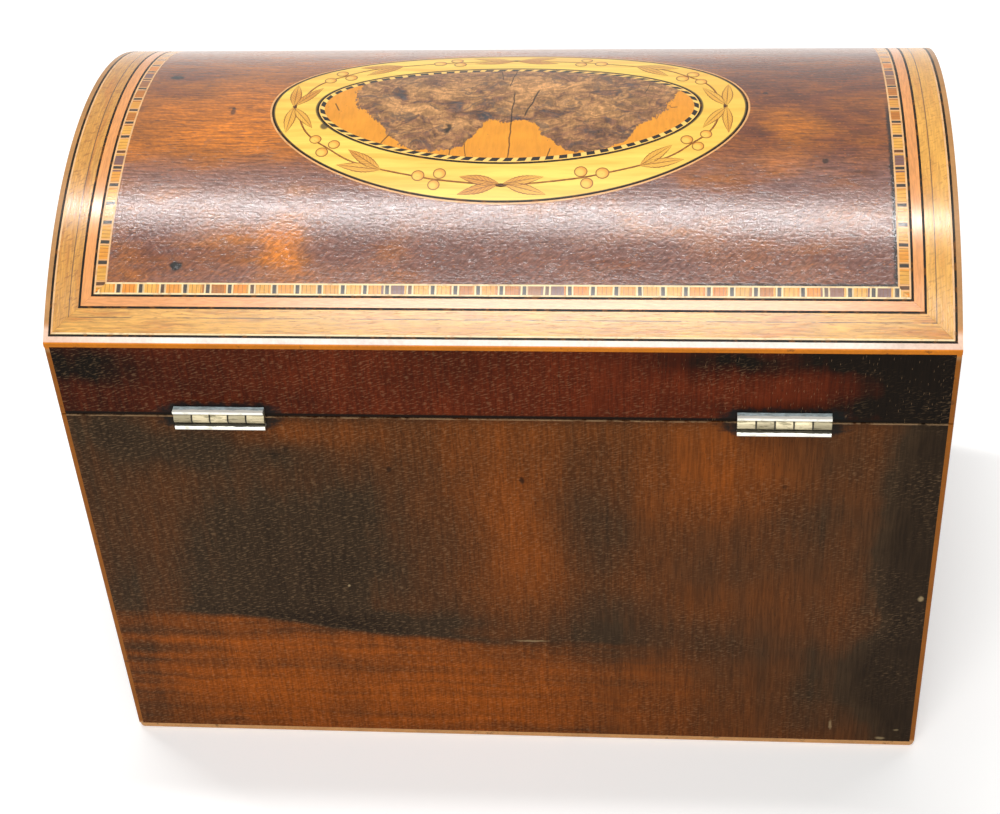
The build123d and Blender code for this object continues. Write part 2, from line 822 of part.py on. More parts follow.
# Bolt: a bar with two hooked prongs that shoot through the staples
with BuildPart() as lock_bolt:
    with BuildSketch(Plane.XZ.offset(-bolt_y - bolt_thickness / 2)):
        bar_top = case_top - bolt_top_drop
        prong_z = case_top - prong_drop - prong_height / 2
        tips = [
            staple - staple_thickness / 2 - prong_rest_gap for staple in (-staple_spread, staple_spread)
        ]
        with Locations((tips[1] - bolt_length / 2 + prong_length / 2, bar_top - bolt_bar_height / 2)):
            Rectangle(bolt_length, bolt_bar_height)
        for tip in tips:
            with Locations((tip - prong_length / 2, prong_z)):
                Rectangle(prong_length, prong_height)
            with Locations((tip - prong_length + prong_root / 2, (prong_z + bar_top) / 2)):
                Rectangle(prong_root, prong_z - bar_top + prong_height)
        with Locations((0, bar_top - bolt_bar_height)):
            Rectangle(talon_width, 2 * talon_depth, mode=Mode.SUBTRACT)
    extrude(amount=bolt_thickness)
save(lock_bolt, "lock_bolt")

# Link plate of the lid with its two staples
with BuildPart() as link_plate:
    with BuildSketch(Plane.XY.offset(lid_bottom)):
        with Locations((0, lock_y - lock_body_depth / 2)):
            Rectangle(lock_width, lock_body_depth)
    extrude(amount=lock_plate_thickness)
    for x in (-staple_spread, staple_spread):
        with BuildSketch(Plane.YZ.offset(x - staple_thickness / 2)):
            with Locations((bolt_y, lid_bottom - staple_length / 2)):
                RectangleRounded(staple_width, staple_length, staple_thickness / 2)
            with Locations((bolt_y, lid_bottom - staple_thickness / 2)):
                Rectangle(staple_width, staple_thickness)
            with Locations((bolt_y, case_top - staple_eye_drop - staple_eye_height / 2)):
                Rectangle(staple_eye_width, staple_eye_height, mode=Mode.SUBTRACT)
        extrude(amount=staple_thickness)
    add(screws(link_screw_planes, slot=False), mode=Mode.SUBTRACT)
save(link_plate, "link_plate")

with BuildPart() as link_plate_screws:
    add(screws(link_screw_planes))
save(link_plate_screws, "link_plate_screws")

# Escutcheon: a thread of brass that lines the keyhole
with BuildPart() as escutcheon:
    add(keyway(escutcheon_wall, -half_depth, escutcheon_depth))
    add(keyway(0, -half_depth, escutcheon_depth), mode=Mode.SUBTRACT)
save(escutcheon, "escutcheon")

# Inner lids with turned knobs
for side, name in ((-1, "left"), (1, "right")):
    centre = side * (cell_near + inner_x) / 2
    with BuildPart() as inner_lid:
        with BuildSketch(Plane.XY.offset(ledge_height)):
            with Locations((centre, 0)):
                Rectangle(
                    inner_x - cell_near - 2 * inner_lid_clearance, 2 * (inner_y - inner_lid_clearance)
                )
                Circle(knob_tenon_radius, mode=Mode.SUBTRACT)
        extrude(amount=inner_lid_thickness)
    save(inner_lid, f"{name}_inner_lid")

    with BuildPart() as knob:
        seat = inner_lid_thickness
        waist = seat + knob_foot_height + knob_neck_height
        with BuildSketch(Plane((centre, 0, ledge_height), x_dir=(1, 0, 0), z_dir=(0, -1, 0))):
            with BuildLine():
                Polyline(
                    (0, 0), (knob_tenon_radius, 0), (knob_tenon_radius, seat), (knob_foot_radius, seat),
                    (knob_foot_radius, seat + knob_foot_height), (knob_neck_radius, waist)
                )
                ThreePointArc(
                    (knob_neck_radius, waist), (knob_radius, (waist + seat + knob_height) / 2),
                    (knob_button_radius, seat + knob_height)
                )
                Polyline((knob_button_radius, seat + knob_height), (0, seat + knob_height), (0, 0))
            make_face()
        revolve(axis=Axis((centre, 0, 0), (0, 0, 1)))
    save(knob, f"{name}_inner_lid_knob")
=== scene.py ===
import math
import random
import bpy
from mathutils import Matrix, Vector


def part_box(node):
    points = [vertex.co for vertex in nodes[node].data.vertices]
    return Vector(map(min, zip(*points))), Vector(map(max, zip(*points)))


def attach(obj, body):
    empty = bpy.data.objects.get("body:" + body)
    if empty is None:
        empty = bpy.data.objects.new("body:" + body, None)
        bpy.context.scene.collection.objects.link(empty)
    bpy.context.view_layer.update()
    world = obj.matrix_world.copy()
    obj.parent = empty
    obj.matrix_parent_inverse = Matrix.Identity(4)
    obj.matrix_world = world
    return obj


bl_info = {
    "name": "Dome Topped Tea Caddy",
    "version": (1, 0, 0),
    "blender": (4, 5, 0),
    "location": "3D View > Sidebar > Caddy",
    "description": "Finishes, inlaid garland and stage of a dome topped tea caddy",
    "category": "Object",
}

import bpy
from bpy.props import (
    FloatProperty,
    FloatVectorProperty,
    IntProperty,
    PointerProperty,
)
from mathutils import Matrix, Vector

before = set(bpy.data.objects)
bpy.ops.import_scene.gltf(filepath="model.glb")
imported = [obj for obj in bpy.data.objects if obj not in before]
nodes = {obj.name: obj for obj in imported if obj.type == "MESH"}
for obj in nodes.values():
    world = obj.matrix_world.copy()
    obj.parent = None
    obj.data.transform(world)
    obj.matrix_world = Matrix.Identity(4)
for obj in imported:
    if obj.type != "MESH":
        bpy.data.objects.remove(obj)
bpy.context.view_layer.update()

# Millimetres in one metre, and the width of the camera's sensor in millimetres
MM = 1000.0
SENSOR_WIDTH = 36.0


def span(node):
    """Lowest and highest corner of a node, in millimetres."""
    low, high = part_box(node)
    return low * MM, high * MM


# Sizes that follow from the nodes of model.glb, in millimetres
FIELD_LOW, FIELD_HIGH = span("dome_field")
VENEER_LOW, VENEER_HIGH = span("case_back_veneer")
VENEER = VENEER_HIGH.y - VENEER_LOW.y
HALF_WIDTH = span("dome_edge_strings")[1].x
HALF_DEPTH = span("dome_edge_strings")[1].y
CASE_TOP = VENEER_HIGH.z
LID_BOTTOM = span("lid_back_veneer")[0].z
LID_WALL_TOP = span("lid_back_veneer")[1].z
CROWN = FIELD_HIGH.z
FIELD_DROP = FIELD_HIGH.z - FIELD_LOW.z
DOME_RADIUS = (FIELD_DROP**2 + FIELD_HIGH.y**2 - VENEER**2) / (2 * (FIELD_DROP - VENEER))
LADDER_HIGH = span("dome_ladder_band")[1]
RING_HIGH = span("oval_garland_ring")[1]
ROPE_HIGH = span("oval_rope_string")[1]
PANEL_HIGH = span("oval_burr_panel")[1]
OVAL_LINE = (span("oval_light_line")[1].x - RING_HIGH.x) / 2
RING_INNER_X = ROPE_HIGH.x + OVAL_LINE
RING_INNER_Y = ROPE_HIGH.y + OVAL_LINE
HINGE_LOW, HINGE_HIGH = span("right_hinge_case_leaf")
HINGE_MIDDLE = (HINGE_LOW.x + HINGE_HIGH.x) / 2
HINGE_LENGTH = HINGE_HIGH.x - HINGE_LOW.x
KNUCKLES = 5
HINGE_AXIS = (CASE_TOP + LID_BOTTOM) / 2
SHOULDER_HIGH = span("right_hinge_lid_leaf")[1].z - HINGE_AXIS


def arc_at(y):
    """Distance along the dome's face from its crown line to a depth y."""
    return DOME_RADIUS * math.asin(y / DOME_RADIUS)


def dome_height(y):
    """Height of the dome's face above the base at a depth y, in millimetres."""
    return CROWN - DOME_RADIUS + math.sqrt(DOME_RADIUS**2 - y**2)


MITRE = LADDER_HIGH.x - arc_at(LADDER_HIGH.y)


def linear(colour, strength=1.0):
    """A colour as it is seen, turned into the light that a shader takes, at a strength."""
    light = (c / 12.92 if c <= 0.04045 else ((c + 0.055) / 1.055) ** 2.4 for c in colour)
    return tuple(strength * c for c in light) + (1.0,)


def colour_property(name, note, red, green, blue):
    """A colour of a finish, given as it is seen, in steps of 255."""
    return FloatVectorProperty(
        name=name, description=note, size=3, min=0.0, max=1.0, subtype="COLOR_GAMMA",
        default=(red / 255, green / 255, blue / 255),
    )


def length_property(name, note, millimetres):
    """A size in metres, with its default given in millimetres."""
    return FloatProperty(name=name, description=note, default=millimetres / MM, unit="LENGTH", precision=5)


def angle_property(name, note, degrees):
    """An angle, with its default given in degrees."""
    return FloatProperty(name=name, description=note, default=math.radians(degrees), unit="ROTATION")


def power_property(name, note, watts):
    """The power of a lamp."""
    return FloatProperty(name=name, description=note, default=watts, unit="POWER")


class CADDY_PG_woods(bpy.types.PropertyGroup):
    """Colours of the veneers, the stringing and the boards"""

    cloud: colour_property("Cloud", "Darkest figure of the back's mahogany", 62, 46, 30)
    umber: colour_property("Umber", "Middle brown of the back's mahogany", 100, 56, 24)
    amber: colour_property("Amber", "Orange brown of the back's mahogany", 154, 78, 20)
    # Fleck colour, also used for the painted highlight along the case's top arris
    fleck_and_highlight: colour_property("Fleck", "Pale short flecks and scratches of the back", 184, 148, 108)
    stain: colour_property("Stain", "Blue green stain round the hinges", 18, 26, 26)
    plum: colour_property("Plum", "Purple brown of old mahogany", 96, 68, 62)
    russet: colour_property("Russet", "Red brown of the lid's sides", 104, 40, 14)
    dome_dark: colour_property("Dome dark", "Dark streaks of the dome's mahogany", 98, 50, 24)
    dome_middle: colour_property("Dome middle", "Body of the dome's mahogany", 162, 92, 20)
    dome_light: colour_property("Dome light", "Orange flames of the dome's mahogany", 216, 122, 22)
    satin_light: colour_property("Satinwood light", "Pale rays of the satinwood bands", 234, 170, 70)
    satin_dark: colour_property("Satinwood dark", "Brown flecks of the satinwood bands", 172, 104, 30)
    tulip: colour_property("Tulipwood", "Plain pink band inside the satinwood", 222, 146, 76)
    box: colour_property("Boxwood", "Stringing on the arrises", 214, 124, 18)
    # Colour of the painted highlight on the dome's face of the long stringing
    string_highlight: colour_property("Bleached box", "Rubbed top of the long stringing", 252, 242, 230)
    toned: colour_property("Toned line", "Light lines where they have darkened", 222, 164, 104)
    holly: colour_property("Holly", "White lines of the marquetry", 240, 210, 156)
    ebony: colour_property("Black line", "Dyed lines of the marquetry", 34, 28, 20)
    ring_light: colour_property("Ring light", "Yellow satinwood of the oval ring", 252, 214, 100)
    ring_dark: colour_property("Ring dark", "Deeper grain of the oval ring", 234, 180, 74)
    scorch: colour_property("Scorch", "Wash on the leaves and berries", 226, 156, 62)
    ink: colour_property("Ink", "Pen lines of the garland", 138, 76, 24)
    sapwood: colour_property("Sapwood", "Orange sapwood of the burr panel", 226, 148, 46)
    burr_light: colour_property("Burr light", "Tan eyes of the burr", 200, 146, 92)
    burr_dark: colour_property("Burr dark", "Purple brown swirls of the burr", 130, 88, 62)
    burr_slate: colour_property("Burr slate", "Blackish folds of the burr", 72, 68, 68)
    carcass: colour_property("Carcass", "Mahogany of the boards inside", 136, 82, 50)
    interior: colour_property("Interior", "Polished mahogany of the linings and inner lids", 128, 66, 36)


class CADDY_PG_inlay(bpy.types.PropertyGroup):
    """Sizes of the inlaid patterns and of the garland"""

    ladder_pitch: length_property("Ladder pitch", "Length of one golden and one dark block", 4.6)
    rope_pitch: length_property("Rope pitch", "Length of one black and one pale slice", 2.87)
    leaf_length: length_property("Leaf length", "Length of a garland leaf", 9.2)
    leaf_width: length_property("Leaf width", "Greatest width of a garland leaf", 2.6)
    berry_radius: length_property("Berry radius", "Radius of a garland berry", 1.4)
    stem_width: length_property("Stem width", "Width of the pen line of the stems", 0.4)
    lift: length_property("Lift", "Height of the penwork above the ring's face", 0.03)
    hand: IntProperty(name="Hand", description="Seed of the small differences between leaves", default=7)


class CADDY_PG_metal(bpy.types.PropertyGroup):
    """Colours of the hinges and the lock"""

    brass: colour_property("Brass", "Polished brass of the knuckles", 232, 218, 180)
    # Silvery strips, also the colour of the painted highlight along the hinges' top
    lightened: colour_property("Worn brass", "Silvery strips of the hinges", 246, 244, 232)
    # Colour of the painted reflection on the hinges' top face
    top_reflection: colour_property("Blued brass", "Blue grey bloom on top of the hinges", 196, 220, 228)
    # Tarnish, also painted as shade in the gaps of the hinges
    tarnish_and_shade: colour_property("Tarnish", "Dull brass in the corners", 140, 132, 96)
    steel: colour_property("Steel", "Steel of the springs and pins", 150, 150, 152)


class CADDY_PG_stage(bpy.types.PropertyGroup):
    """Camera, lamps and floor"""

    camera_place: FloatVectorProperty(
        name="Camera place", description="Where the camera stands", size=3, unit="LENGTH",
        default=(-0.0381, 0.3701, 0.3817),
    )
    camera_turn: angle_property("Camera turn", "Turn of the view about the upright axis", 186.807)
    camera_pitch: angle_property("Camera pitch", "Angle of the view below the horizon", 41.15)
    camera_roll: angle_property("Camera roll", "Turn of the picture about the view", -3.867)
    lens: FloatProperty(
        name="Lens", description="Focal length for a 36 mm wide sensor", default=74.455, unit="CAMERA"
    )
    top_power: power_property("Top lamp", "Power of the long lamp overhead", 5.9)
    back_power: power_property("Back lamp", "Power of the lamp above the camera", 4.2)
    edge_power: power_property("Edge lamp", "Power of the thin lamp that lights the arris", 1.4)
    low_power: power_property("Low lamp", "Power of the wide low lamp behind the camera", 3.4)
    fill: FloatProperty(
        name="Fill", description="Strength of the even light from all round", default=0.16, min=0.0
    )
    floor: colour_property("Floor", "Pale floor", 244, 243, 241)


class Signal:
    """A value that one node of a finish hands on to the next."""

    def __init__(self, finish, socket):
        self.finish = finish
        self.socket = socket

    def __add__(self, other):
        return self.finish.math("ADD", self, other)

    __radd__ = __add__

    def __sub__(self, other):
        return self.finish.math("SUBTRACT", self, other)

    def __rsub__(self, other):
        return self.finish.math("SUBTRACT", other, self)

    def __mul__(self, other):
        return self.finish.math("MULTIPLY", self, other)

    __rmul__ = __mul__

    def __truediv__(self, other):
        return self.finish.math("DIVIDE", self, other)

    def __abs__(self):
        return self.finish.math("ABSOLUTE", self)


class Finish:
    """A material whose nodes are written as sums, with places in millimetres."""

    def __init__(self, name):
        self.material = bpy.data.materials.new(name)
        self.material.use_nodes = True
        self.nodes = self.material.node_tree.nodes
        self.links = self.material.node_tree.links
        self.shader = self.nodes["Principled BSDF"]
        self.coordinates = self.add("ShaderNodeTexCoord")
        self.x, self.y, self.z = (part * MM for part in self.parts(self.coordinates.outputs["Object"]))
        self.surface = self.vector(self.x, self.y, self.z)

    def feed(self, socket, value):
        """Links a signal to a socket, or sets the socket's own value."""
        if isinstance(value, Signal):
            value = value.socket
        if isinstance(value, bpy.types.NodeSocket):
            self.links.new(value, socket)
        else:
            socket.default_value = value

    def add(self, kind, inputs=(), **settings):
        """Adds a node, sets its options and feeds its inputs."""
        node = self.nodes.new(kind)
        for key, value in settings.items():
            setattr(node, key, value)
        for key, value in dict(inputs).items():
            self.feed(node.inputs[key], value)
        return node

    def math(self, operation, *values):
        """One sum of numbers."""
        return Signal(self, self.add("ShaderNodeMath", enumerate(values), operation=operation).outputs[0])

    def vector(self, *parts):
        """Three numbers as a place."""
        return Signal(self, self.add("ShaderNodeCombineXYZ", enumerate(parts)).outputs[0])

    def parts(self, place):
        """The three numbers of a place."""
        node = self.add("ShaderNodeSeparateXYZ", {"Vector": place})
        return [Signal(self, socket) for socket in node.outputs]

    def length(self, place):
        """How far a place is from the origin."""
        node = self.add("ShaderNodeVectorMath", {0: place}, operation="LENGTH")
        return Signal(self, node.outputs["Value"])

    def chance(self, count):
        """A random share for each whole number of a count."""
        node = self.add("ShaderNodeTexWhiteNoise", {"W": self.math("FLOOR", count)}, noise_dimensions="1D")
        return Signal(self, node.outputs["Value"])

    def upright_surface(self):
        """Takes places along the box, upwards and through its depth."""
        self.surface = self.vector(self.x, self.z, self.y)

    def dome_surface(self):
        """Takes places along the box and along the dome's curve, from its crown."""
        self.arc = self.math("ARCSINE", self.y / DOME_RADIUS) * DOME_RADIUS
        self.surface = self.vector(self.x, self.arc, 0.0)

    def warped(self, size, reach, seed=0.0):
        """The surface with its places pushed about, for patches with a natural edge."""
        noise = self.add(
            "ShaderNodeTexNoise", {"Vector": self.scaled(size, seed), "Scale": 1.0, "Detail": 3.0}
        )
        push = self.add(
            "ShaderNodeVectorMath",
            {0: noise.outputs["Color"], 1: (2 * reach,) * 3, 2: (-reach,) * 3},
            operation="MULTIPLY_ADD",
        )
        moved = self.add("ShaderNodeVectorMath", {0: self.surface, 1: push.outputs[0]}, operation="ADD")
        return Signal(self, moved.outputs[0])

    def scaled(self, size, seed=0.0, place=None):
        """A place counted in blobs of the given size along the surface, across it and through it."""
        node = self.add(
            "ShaderNodeVectorMath",
            {0: place or self.surface, 1: tuple(1 / s for s in size), 2: (seed, seed, seed)},
            operation="MULTIPLY_ADD",
        )
        return Signal(self, node.outputs[0])

    def turned(self, angle):
        """The surface's places turned by an angle in degrees."""
        node = self.add(
            "ShaderNodeVectorRotate",
            {"Vector": self.surface, "Angle": math.radians(angle)},
            rotation_type="Z_AXIS",
        )
        return Signal(self, node.outputs[0])

    def noise(self, size, detail=3.0, roughness=0.55, seed=0.0, place=None, distortion=0.0):
        """Cloudy values about one half, in blobs of that size."""
        node = self.add("ShaderNodeTexNoise", {
            "Vector": self.scaled(size, seed, place), "Scale": 1.0, "Detail": detail,
            "Roughness": roughness, "Distortion": distortion,
        })
        return Signal(self, node.outputs["Fac"])

    def grain(self, size, seed=0.0, place=None, detail=3.0):
        """Crisp grain: noise drawn out to its full range, in lines of that size."""
        return self.rise(self.noise(size, detail, 0.6, seed, place), 0.34, 0.66)

    def specks(self, size, limit, seed=0.0, place=None):
        """1 on scattered specks, where limit is their share of each blob."""
        node = self.add("ShaderNodeTexVoronoi", {"Vector": self.scaled(size, seed, place), "Scale": 1.0})
        return self.rise(Signal(self, node.outputs["Distance"]), limit, limit * 0.4)

    def rise(self, value, start, end):
        """0 before start, 1 past end, and a smooth slope between them."""
        node = self.add(
            "ShaderNodeMapRange", {"Value": value, "From Min": start, "From Max": end},
            interpolation_type="SMOOTHSTEP",
        )
        return Signal(self, node.outputs["Result"])

    def between(self, value, low, high, soft):
        """1 between two limits, fading over a soft edge."""
        return self.rise(value, low - soft, low + soft) * self.rise(value, high + soft, high - soft)

    def patch(self, centre, radii, soft=0.5, place=None):
        """1 on an oval patch of the surface, fading towards its rim."""
        moved = self.add("ShaderNodeVectorMath", {
            0: place or self.surface, 1: (1 / radii[0], 1 / radii[1], 0.0),
            2: (-centre[0] / radii[0], -centre[1] / radii[1], 0.0),
        }, operation="MULTIPLY_ADD")
        return self.rise(self.length(moved.outputs[0]), 1.0 + soft, 1.0 - soft)

    def patches(self, spots, soft=0.5, place=None):
        """The sum of several patches, each a centre, radii and a weight."""
        total = 0.0
        for centre, radii, weight in spots:
            total = self.patch(centre, radii, soft, place) * weight + total
        return total

    def blend(self, share, under, over, mode="MIX"):
        """Two colours mixed by a share."""
        node = self.add(
            "ShaderNodeMix", {0: share, 6: under, 7: over},
            data_type="RGBA", blend_type=mode, clamp_factor=True,
        )
        return Signal(self, node.outputs[2])

    def lay(self, under, share, colour, strength=1.0):
        """A colour laid over another by a share."""
        return self.blend(share, under, linear(colour, strength))

    def tones(self, value, *stops):
        """Colours along a value, each stop a place, a colour and, where it isn't 1, its strength."""
        ramp = self.add("ShaderNodeValToRGB", {"Fac": value})
        elements = ramp.color_ramp.elements
        while len(elements) < len(stops):
            elements.new(0.5)
        for element, (position, *_) in zip(elements, stops):
            element.position = position
        for element, (_, *colour) in zip(elements, stops):
            element.color = linear(*colour)
        return Signal(self, ramp.outputs["Color"])

    def shade(self, colour, value, low, high):
        """A colour multiplied by a value that runs between low and high."""
        factor = self.add("ShaderNodeMapRange", {"Value": value, "To Min": low, "To Max": high}, clamp=False)
        grey = self.add("ShaderNodeCombineColor", [(i, factor.outputs["Result"]) for i in range(3)])
        return self.blend(1.0, colour, grey.outputs[0], "MULTIPLY")

    def done(self, colour, roughness, height=None, depth=0.02, shine=0.5, metallic=0.0):
        """Feeds the shader, with a height in millimetres as its bump, and gives the material."""
        self.feed(self.shader.inputs["Base Color"], colour)
        self.feed(self.shader.inputs["Roughness"], roughness)
        self.feed(self.shader.inputs["Metallic"], metallic)
        self.shader.inputs["Specular IOR Level"].default_value = shine
        if height is not None:
            bump = self.add("ShaderNodeBump", {"Height": height, "Distance": depth / MM})
            self.feed(self.shader.inputs["Normal"], bump.outputs[0])
        return self.material


def dress(material, *names):
    """Gives a material to CAD nodes or new pieces."""
    for name in names:
        piece = nodes.get(name) or bpy.data.objects[name]
        piece.data.materials.clear()
        piece.data.materials.append(material)


# Figure of the back, in millimetres from its left edge and above the base.
# Each patch of these tables and the next ones is a middle, two radii and a weight.
BACK_LIGHTS = (
    ((92, 74), (13, 26), 0.2), ((134, 86), (17, 12), 0.14), ((75, 15), (28, 9), 0.1),
    ((32, 16), (16, 8), 0.1), ((52, 96), (12, 3), 0.1), ((112, 96), (30, 4), 0.05),
)
BACK_DARKS = (
    ((110, 70), (8, 15), 0.17), ((112, 40), (14, 9), 0.12), ((134, 33), (30, 9), 0.12),
    ((185, 48), (10, 60), 0.7), ((164, 66), (12, 16), 0.14), ((140, 60), (14, 12), 0.05),
    ((172, 20), (18, 12), 0.22), ((26, 92), (16, 6), 0.15), ((46, 89), (7, 5), 0.1),
    ((2, 20), (9, 22), 0.14), ((10, 3), (20, 6), 0.12), ((6, 62), (12, 34), 0.14),
    ((62, 38.5), (22, 3), 0.14), ((172, 92), (12, 8), 0.1), ((6, 97), (10, 5), 0.1),
)
CLOUD_LEFT, CLOUD_RIGHT, CLOUD_END, CLOUD_TOP = 21.0, 63.5, 85.0, 90.0
CLOUD_FLOOR_LEFT, CLOUD_FLOOR_RIGHT = 40.5, 32.5
LID_LIGHTS = (
    ((146, 110), (18, 3.4), 0.2), ((90, 109), (30, 9), 0.12), ((60, 114), (14, 5), 0.08),
    ((116, 111), (10, 8), 0.1),
)
LID_DARKS = (
    ((3, 115.5), (13, 5), 0.34), ((154, 117.6), (26, 3.2), 0.26), ((180, 110), (17, 14), 0.5),
    ((16, 105), (14, 5), 0.12), ((134, 115), (12, 4), 0.14), ((160, 103), (20, 2.5), 0.12),
)
BACK_SPECKS = (
    ((68, 86), (0.5, 0.9), 0.7), ((96, 83.5), (0.45, 1.0), 0.8), ((151, 82.5), (0.5, 0.6), 0.5),
    ((44, 90), (1.3, 0.5), 0.6), ((46.5, 91.4), (0.5, 1.1), 0.5),
)
BACK_MARKS = (
    ((56, 50.5), (0.3, 0.35), 0.55), ((181.5, 49.6), (0.6, 0.7), 0.5), ((96, 33.5), (3.4, 0.25), 0.35),
    ((164.3, 7), (0.3, 1.5), 0.35), ((176, 2.6), (1.0, 0.4), 0.4), ((179.4, 5.6), (0.6, 0.3), 0.3),
)


def back_figure(f, left, soft):
    """What a dark cloud, an orange foot and softer patches add to the tone of the case's back."""
    across, height, _ = f.parts(soft)
    floor = CLOUD_FLOOR_RIGHT + (CLOUD_FLOOR_LEFT - CLOUD_FLOOR_RIGHT) * f.rise(left, 90.0, 20.0)
    above = f.z - floor - (f.noise((24.0, 300.0, 30.0), 3.0, seed=5.0) - 0.5) * 4.0
    lean = across - height * 0.14 + 8.0
    fade = f.rise(height, CLOUD_TOP + 10.0, CLOUD_TOP - 20.0) * f.rise(above, -1.3, 1.5)
    core = f.between(lean, CLOUD_LEFT, CLOUD_RIGHT, 9.0)
    cloud = core * 0.12 + f.between(lean, CLOUD_LEFT, CLOUD_END, 9.0) * 0.13
    cloud = cloud * fade + f.between(above, 0.0, 2.2, 1.4) * f.between(left, 18.0, 92.0, 8.0) * 0.09
    foot = f.rise(above, 1.3, -1.7) * f.rise(left, 150.0, 84.0)
    bands = f.noise((70.0, 3.4, 30.0), 3.0, 0.55, seed=14.0, place=soft) - 0.5
    figure = f.patches(BACK_LIGHTS, 0.85, soft) - f.patches(BACK_DARKS, 0.85, soft)
    return figure - cloud + foot * (0.21 + bands * 0.85)


def mahogany_face(name, woods, along, back=False):
    """Figured mahogany veneer of one side of the box; the back has its cloud, patches and marks, and a
    painted highlight along the case's top edge.
    """
    f = Finish(name)
    across = getattr(f, along)
    reach = HALF_WIDTH if along == "x" else HALF_DEPTH
    left = reach - across if back else reach + across
    f.surface = f.vector(left, f.z, 0.0)
    soft = f.warped((16.0, 12.0, 20.0), 3.2, seed=3.1)
    cloud = f.noise((30.0, 20.0, 30.0), 4.0, seed=8.0)
    tone = 0.28 + cloud * 0.26
    lid_tone = 0.11 + f.noise((24.0, 9.0, 20.0), 4.0, seed=12.0) * 0.5
    if back:
        tone = tone + back_figure(f, left, soft)
        lid_tone = lid_tone + f.patches(LID_LIGHTS, 0.8, soft) - f.patches(LID_DARKS, 0.8, soft)
    ribbon = f.noise((4.0, 70.0, 30.0), 4.0, 0.6, seed=6.4) - 0.5
    tone = tone + ribbon * 0.27
    body = f.tones(
        tone, (0.02, woods.cloud, 0.55), (0.2, woods.cloud), (0.42, woods.umber),
        (0.74, woods.amber), (1.0, woods.amber, 1.4),
    )
    lid = f.rise(f.z, LID_BOTTOM - 0.2, LID_BOTTOM)
    red = f.tones(
        lid_tone + ribbon * 0.4, (0.02, woods.cloud, 0.16), (0.28, woods.russet, 0.5),
        (0.56, woods.russet), (0.9, woods.russet, 2.0),
    )
    body = f.blend(lid, body, red)
    fibres = f.grain((0.5, 9.0, 2.0), seed=2.0)
    body = f.shade(body, fibres, 0.78, 1.2)
    weave = f.noise((1.25, 0.33, 2.0), 2.0, 0.5, seed=4.0, place=f.turned(-17.0))
    lively = f.rise(f.noise((18.0, 18.0, 30.0), 2.0, seed=15.0) + f.rise(left, 150.0, 60.0) * 0.35, 0.36, 0.7)
    body = f.shade(body, f.rise(weave, 0.56, 0.4) * lively, 1.05, 0.78)
    body = f.lay(body, f.rise(weave, 0.53, 0.68) * lively * 0.2, woods.fleck_and_highlight)
    pores = f.specks((0.6, 3.0, 3.0), 0.2, seed=9.0)
    body = f.lay(body, pores * 0.45, woods.cloud, 0.4)
    if back:
        marks = f.warped((1.4, 1.4, 9.0), 0.4, seed=33.0)
        body = f.lay(body, f.patches(BACK_SPECKS, 0.5, marks), woods.cloud, 0.2)
        body = f.lay(body, f.patches(BACK_MARKS, 0.5, marks), woods.holly, 0.7)
        body = f.lay(body, hinge_stain(f), woods.stain)
    seam = f.between(f.z, LID_BOTTOM, LID_BOTTOM + 0.7, 0.12)
    body = f.lay(body, seam * 0.95, woods.cloud, 0.1)
    if back:
        # Painted highlight: a broken pale line along the case's top arris, below the joint.
        arris_highlight = f.between(f.z, CASE_TOP - 0.28, CASE_TOP + 0.2, 0.06)
        arris_highlight = arris_highlight * f.rise(f.noise((3.5, 1.0, 1.0), 4.0, 0.7, seed=3.0), 0.38, 0.54)
        body = f.lay(body, arris_highlight * 0.8, woods.fleck_and_highlight)
    lid_rim = f.rise(f.z, LID_BOTTOM + 1.4, LID_BOTTOM + 0.1) * lid
    case_rim = f.rise(f.z, CASE_TOP - 2.0, CASE_TOP - 0.4) * (1.0 - lid)
    body = f.lay(body, (lid_rim + case_rim) * 0.3, woods.cloud, 0.3)
    scratches = f.specks((0.24, 4.0, 3.0), 0.12, seed=31.0, place=f.turned(5.0))
    lightened = scratches * lid * f.rise(left, 110.0, 140.0)
    body = f.lay(body, lightened * 0.6, woods.fleck_and_highlight, 1.3)
    rough = 0.36 + cloud * 0.12 + lightened * 0.2
    height = fibres * 0.4 + weave * 0.6 - pores * 0.6
    return f.done(body, rough, height, 0.02, shine=0.05)


def hinge_stain(f):
    """Dark stain in the veneer close round both hinges."""
    beside = f.math("MAXIMUM", abs(abs(f.x) - HINGE_MIDDLE) - HINGE_LENGTH / 2, 0.0)
    above = f.math("MAXIMUM", abs(f.z - HINGE_AXIS) - SHOULDER_HIGH, 0.0)
    away = beside * 0.45 + above * 1.2
    ragged = f.noise((1.6, 1.6, 1.6), 3.0, seed=40.0)
    return f.rise(away - ragged * 3.4, 0.6, -1.4) * 0.9


def on_ends(f):
    """1 on the end pieces of a mitred band of the dome, 0 on its long pieces."""
    return f.rise(abs(f.x) - abs(f.arc), MITRE - 0.02, MITRE + 0.02)


def choose(share, first, second):
    """The first value, or the second where share is 1."""
    return first + (second - first) * share


def band_places(f):
    """Turns the surface so that it runs along each piece of a mitred band, and finds the end pieces."""
    f.dome_surface()
    ends = on_ends(f)
    f.along = choose(ends, f.x, f.arc)
    f.surface = f.vector(f.along, choose(ends, f.arc, f.x), 0.0)
    return ends


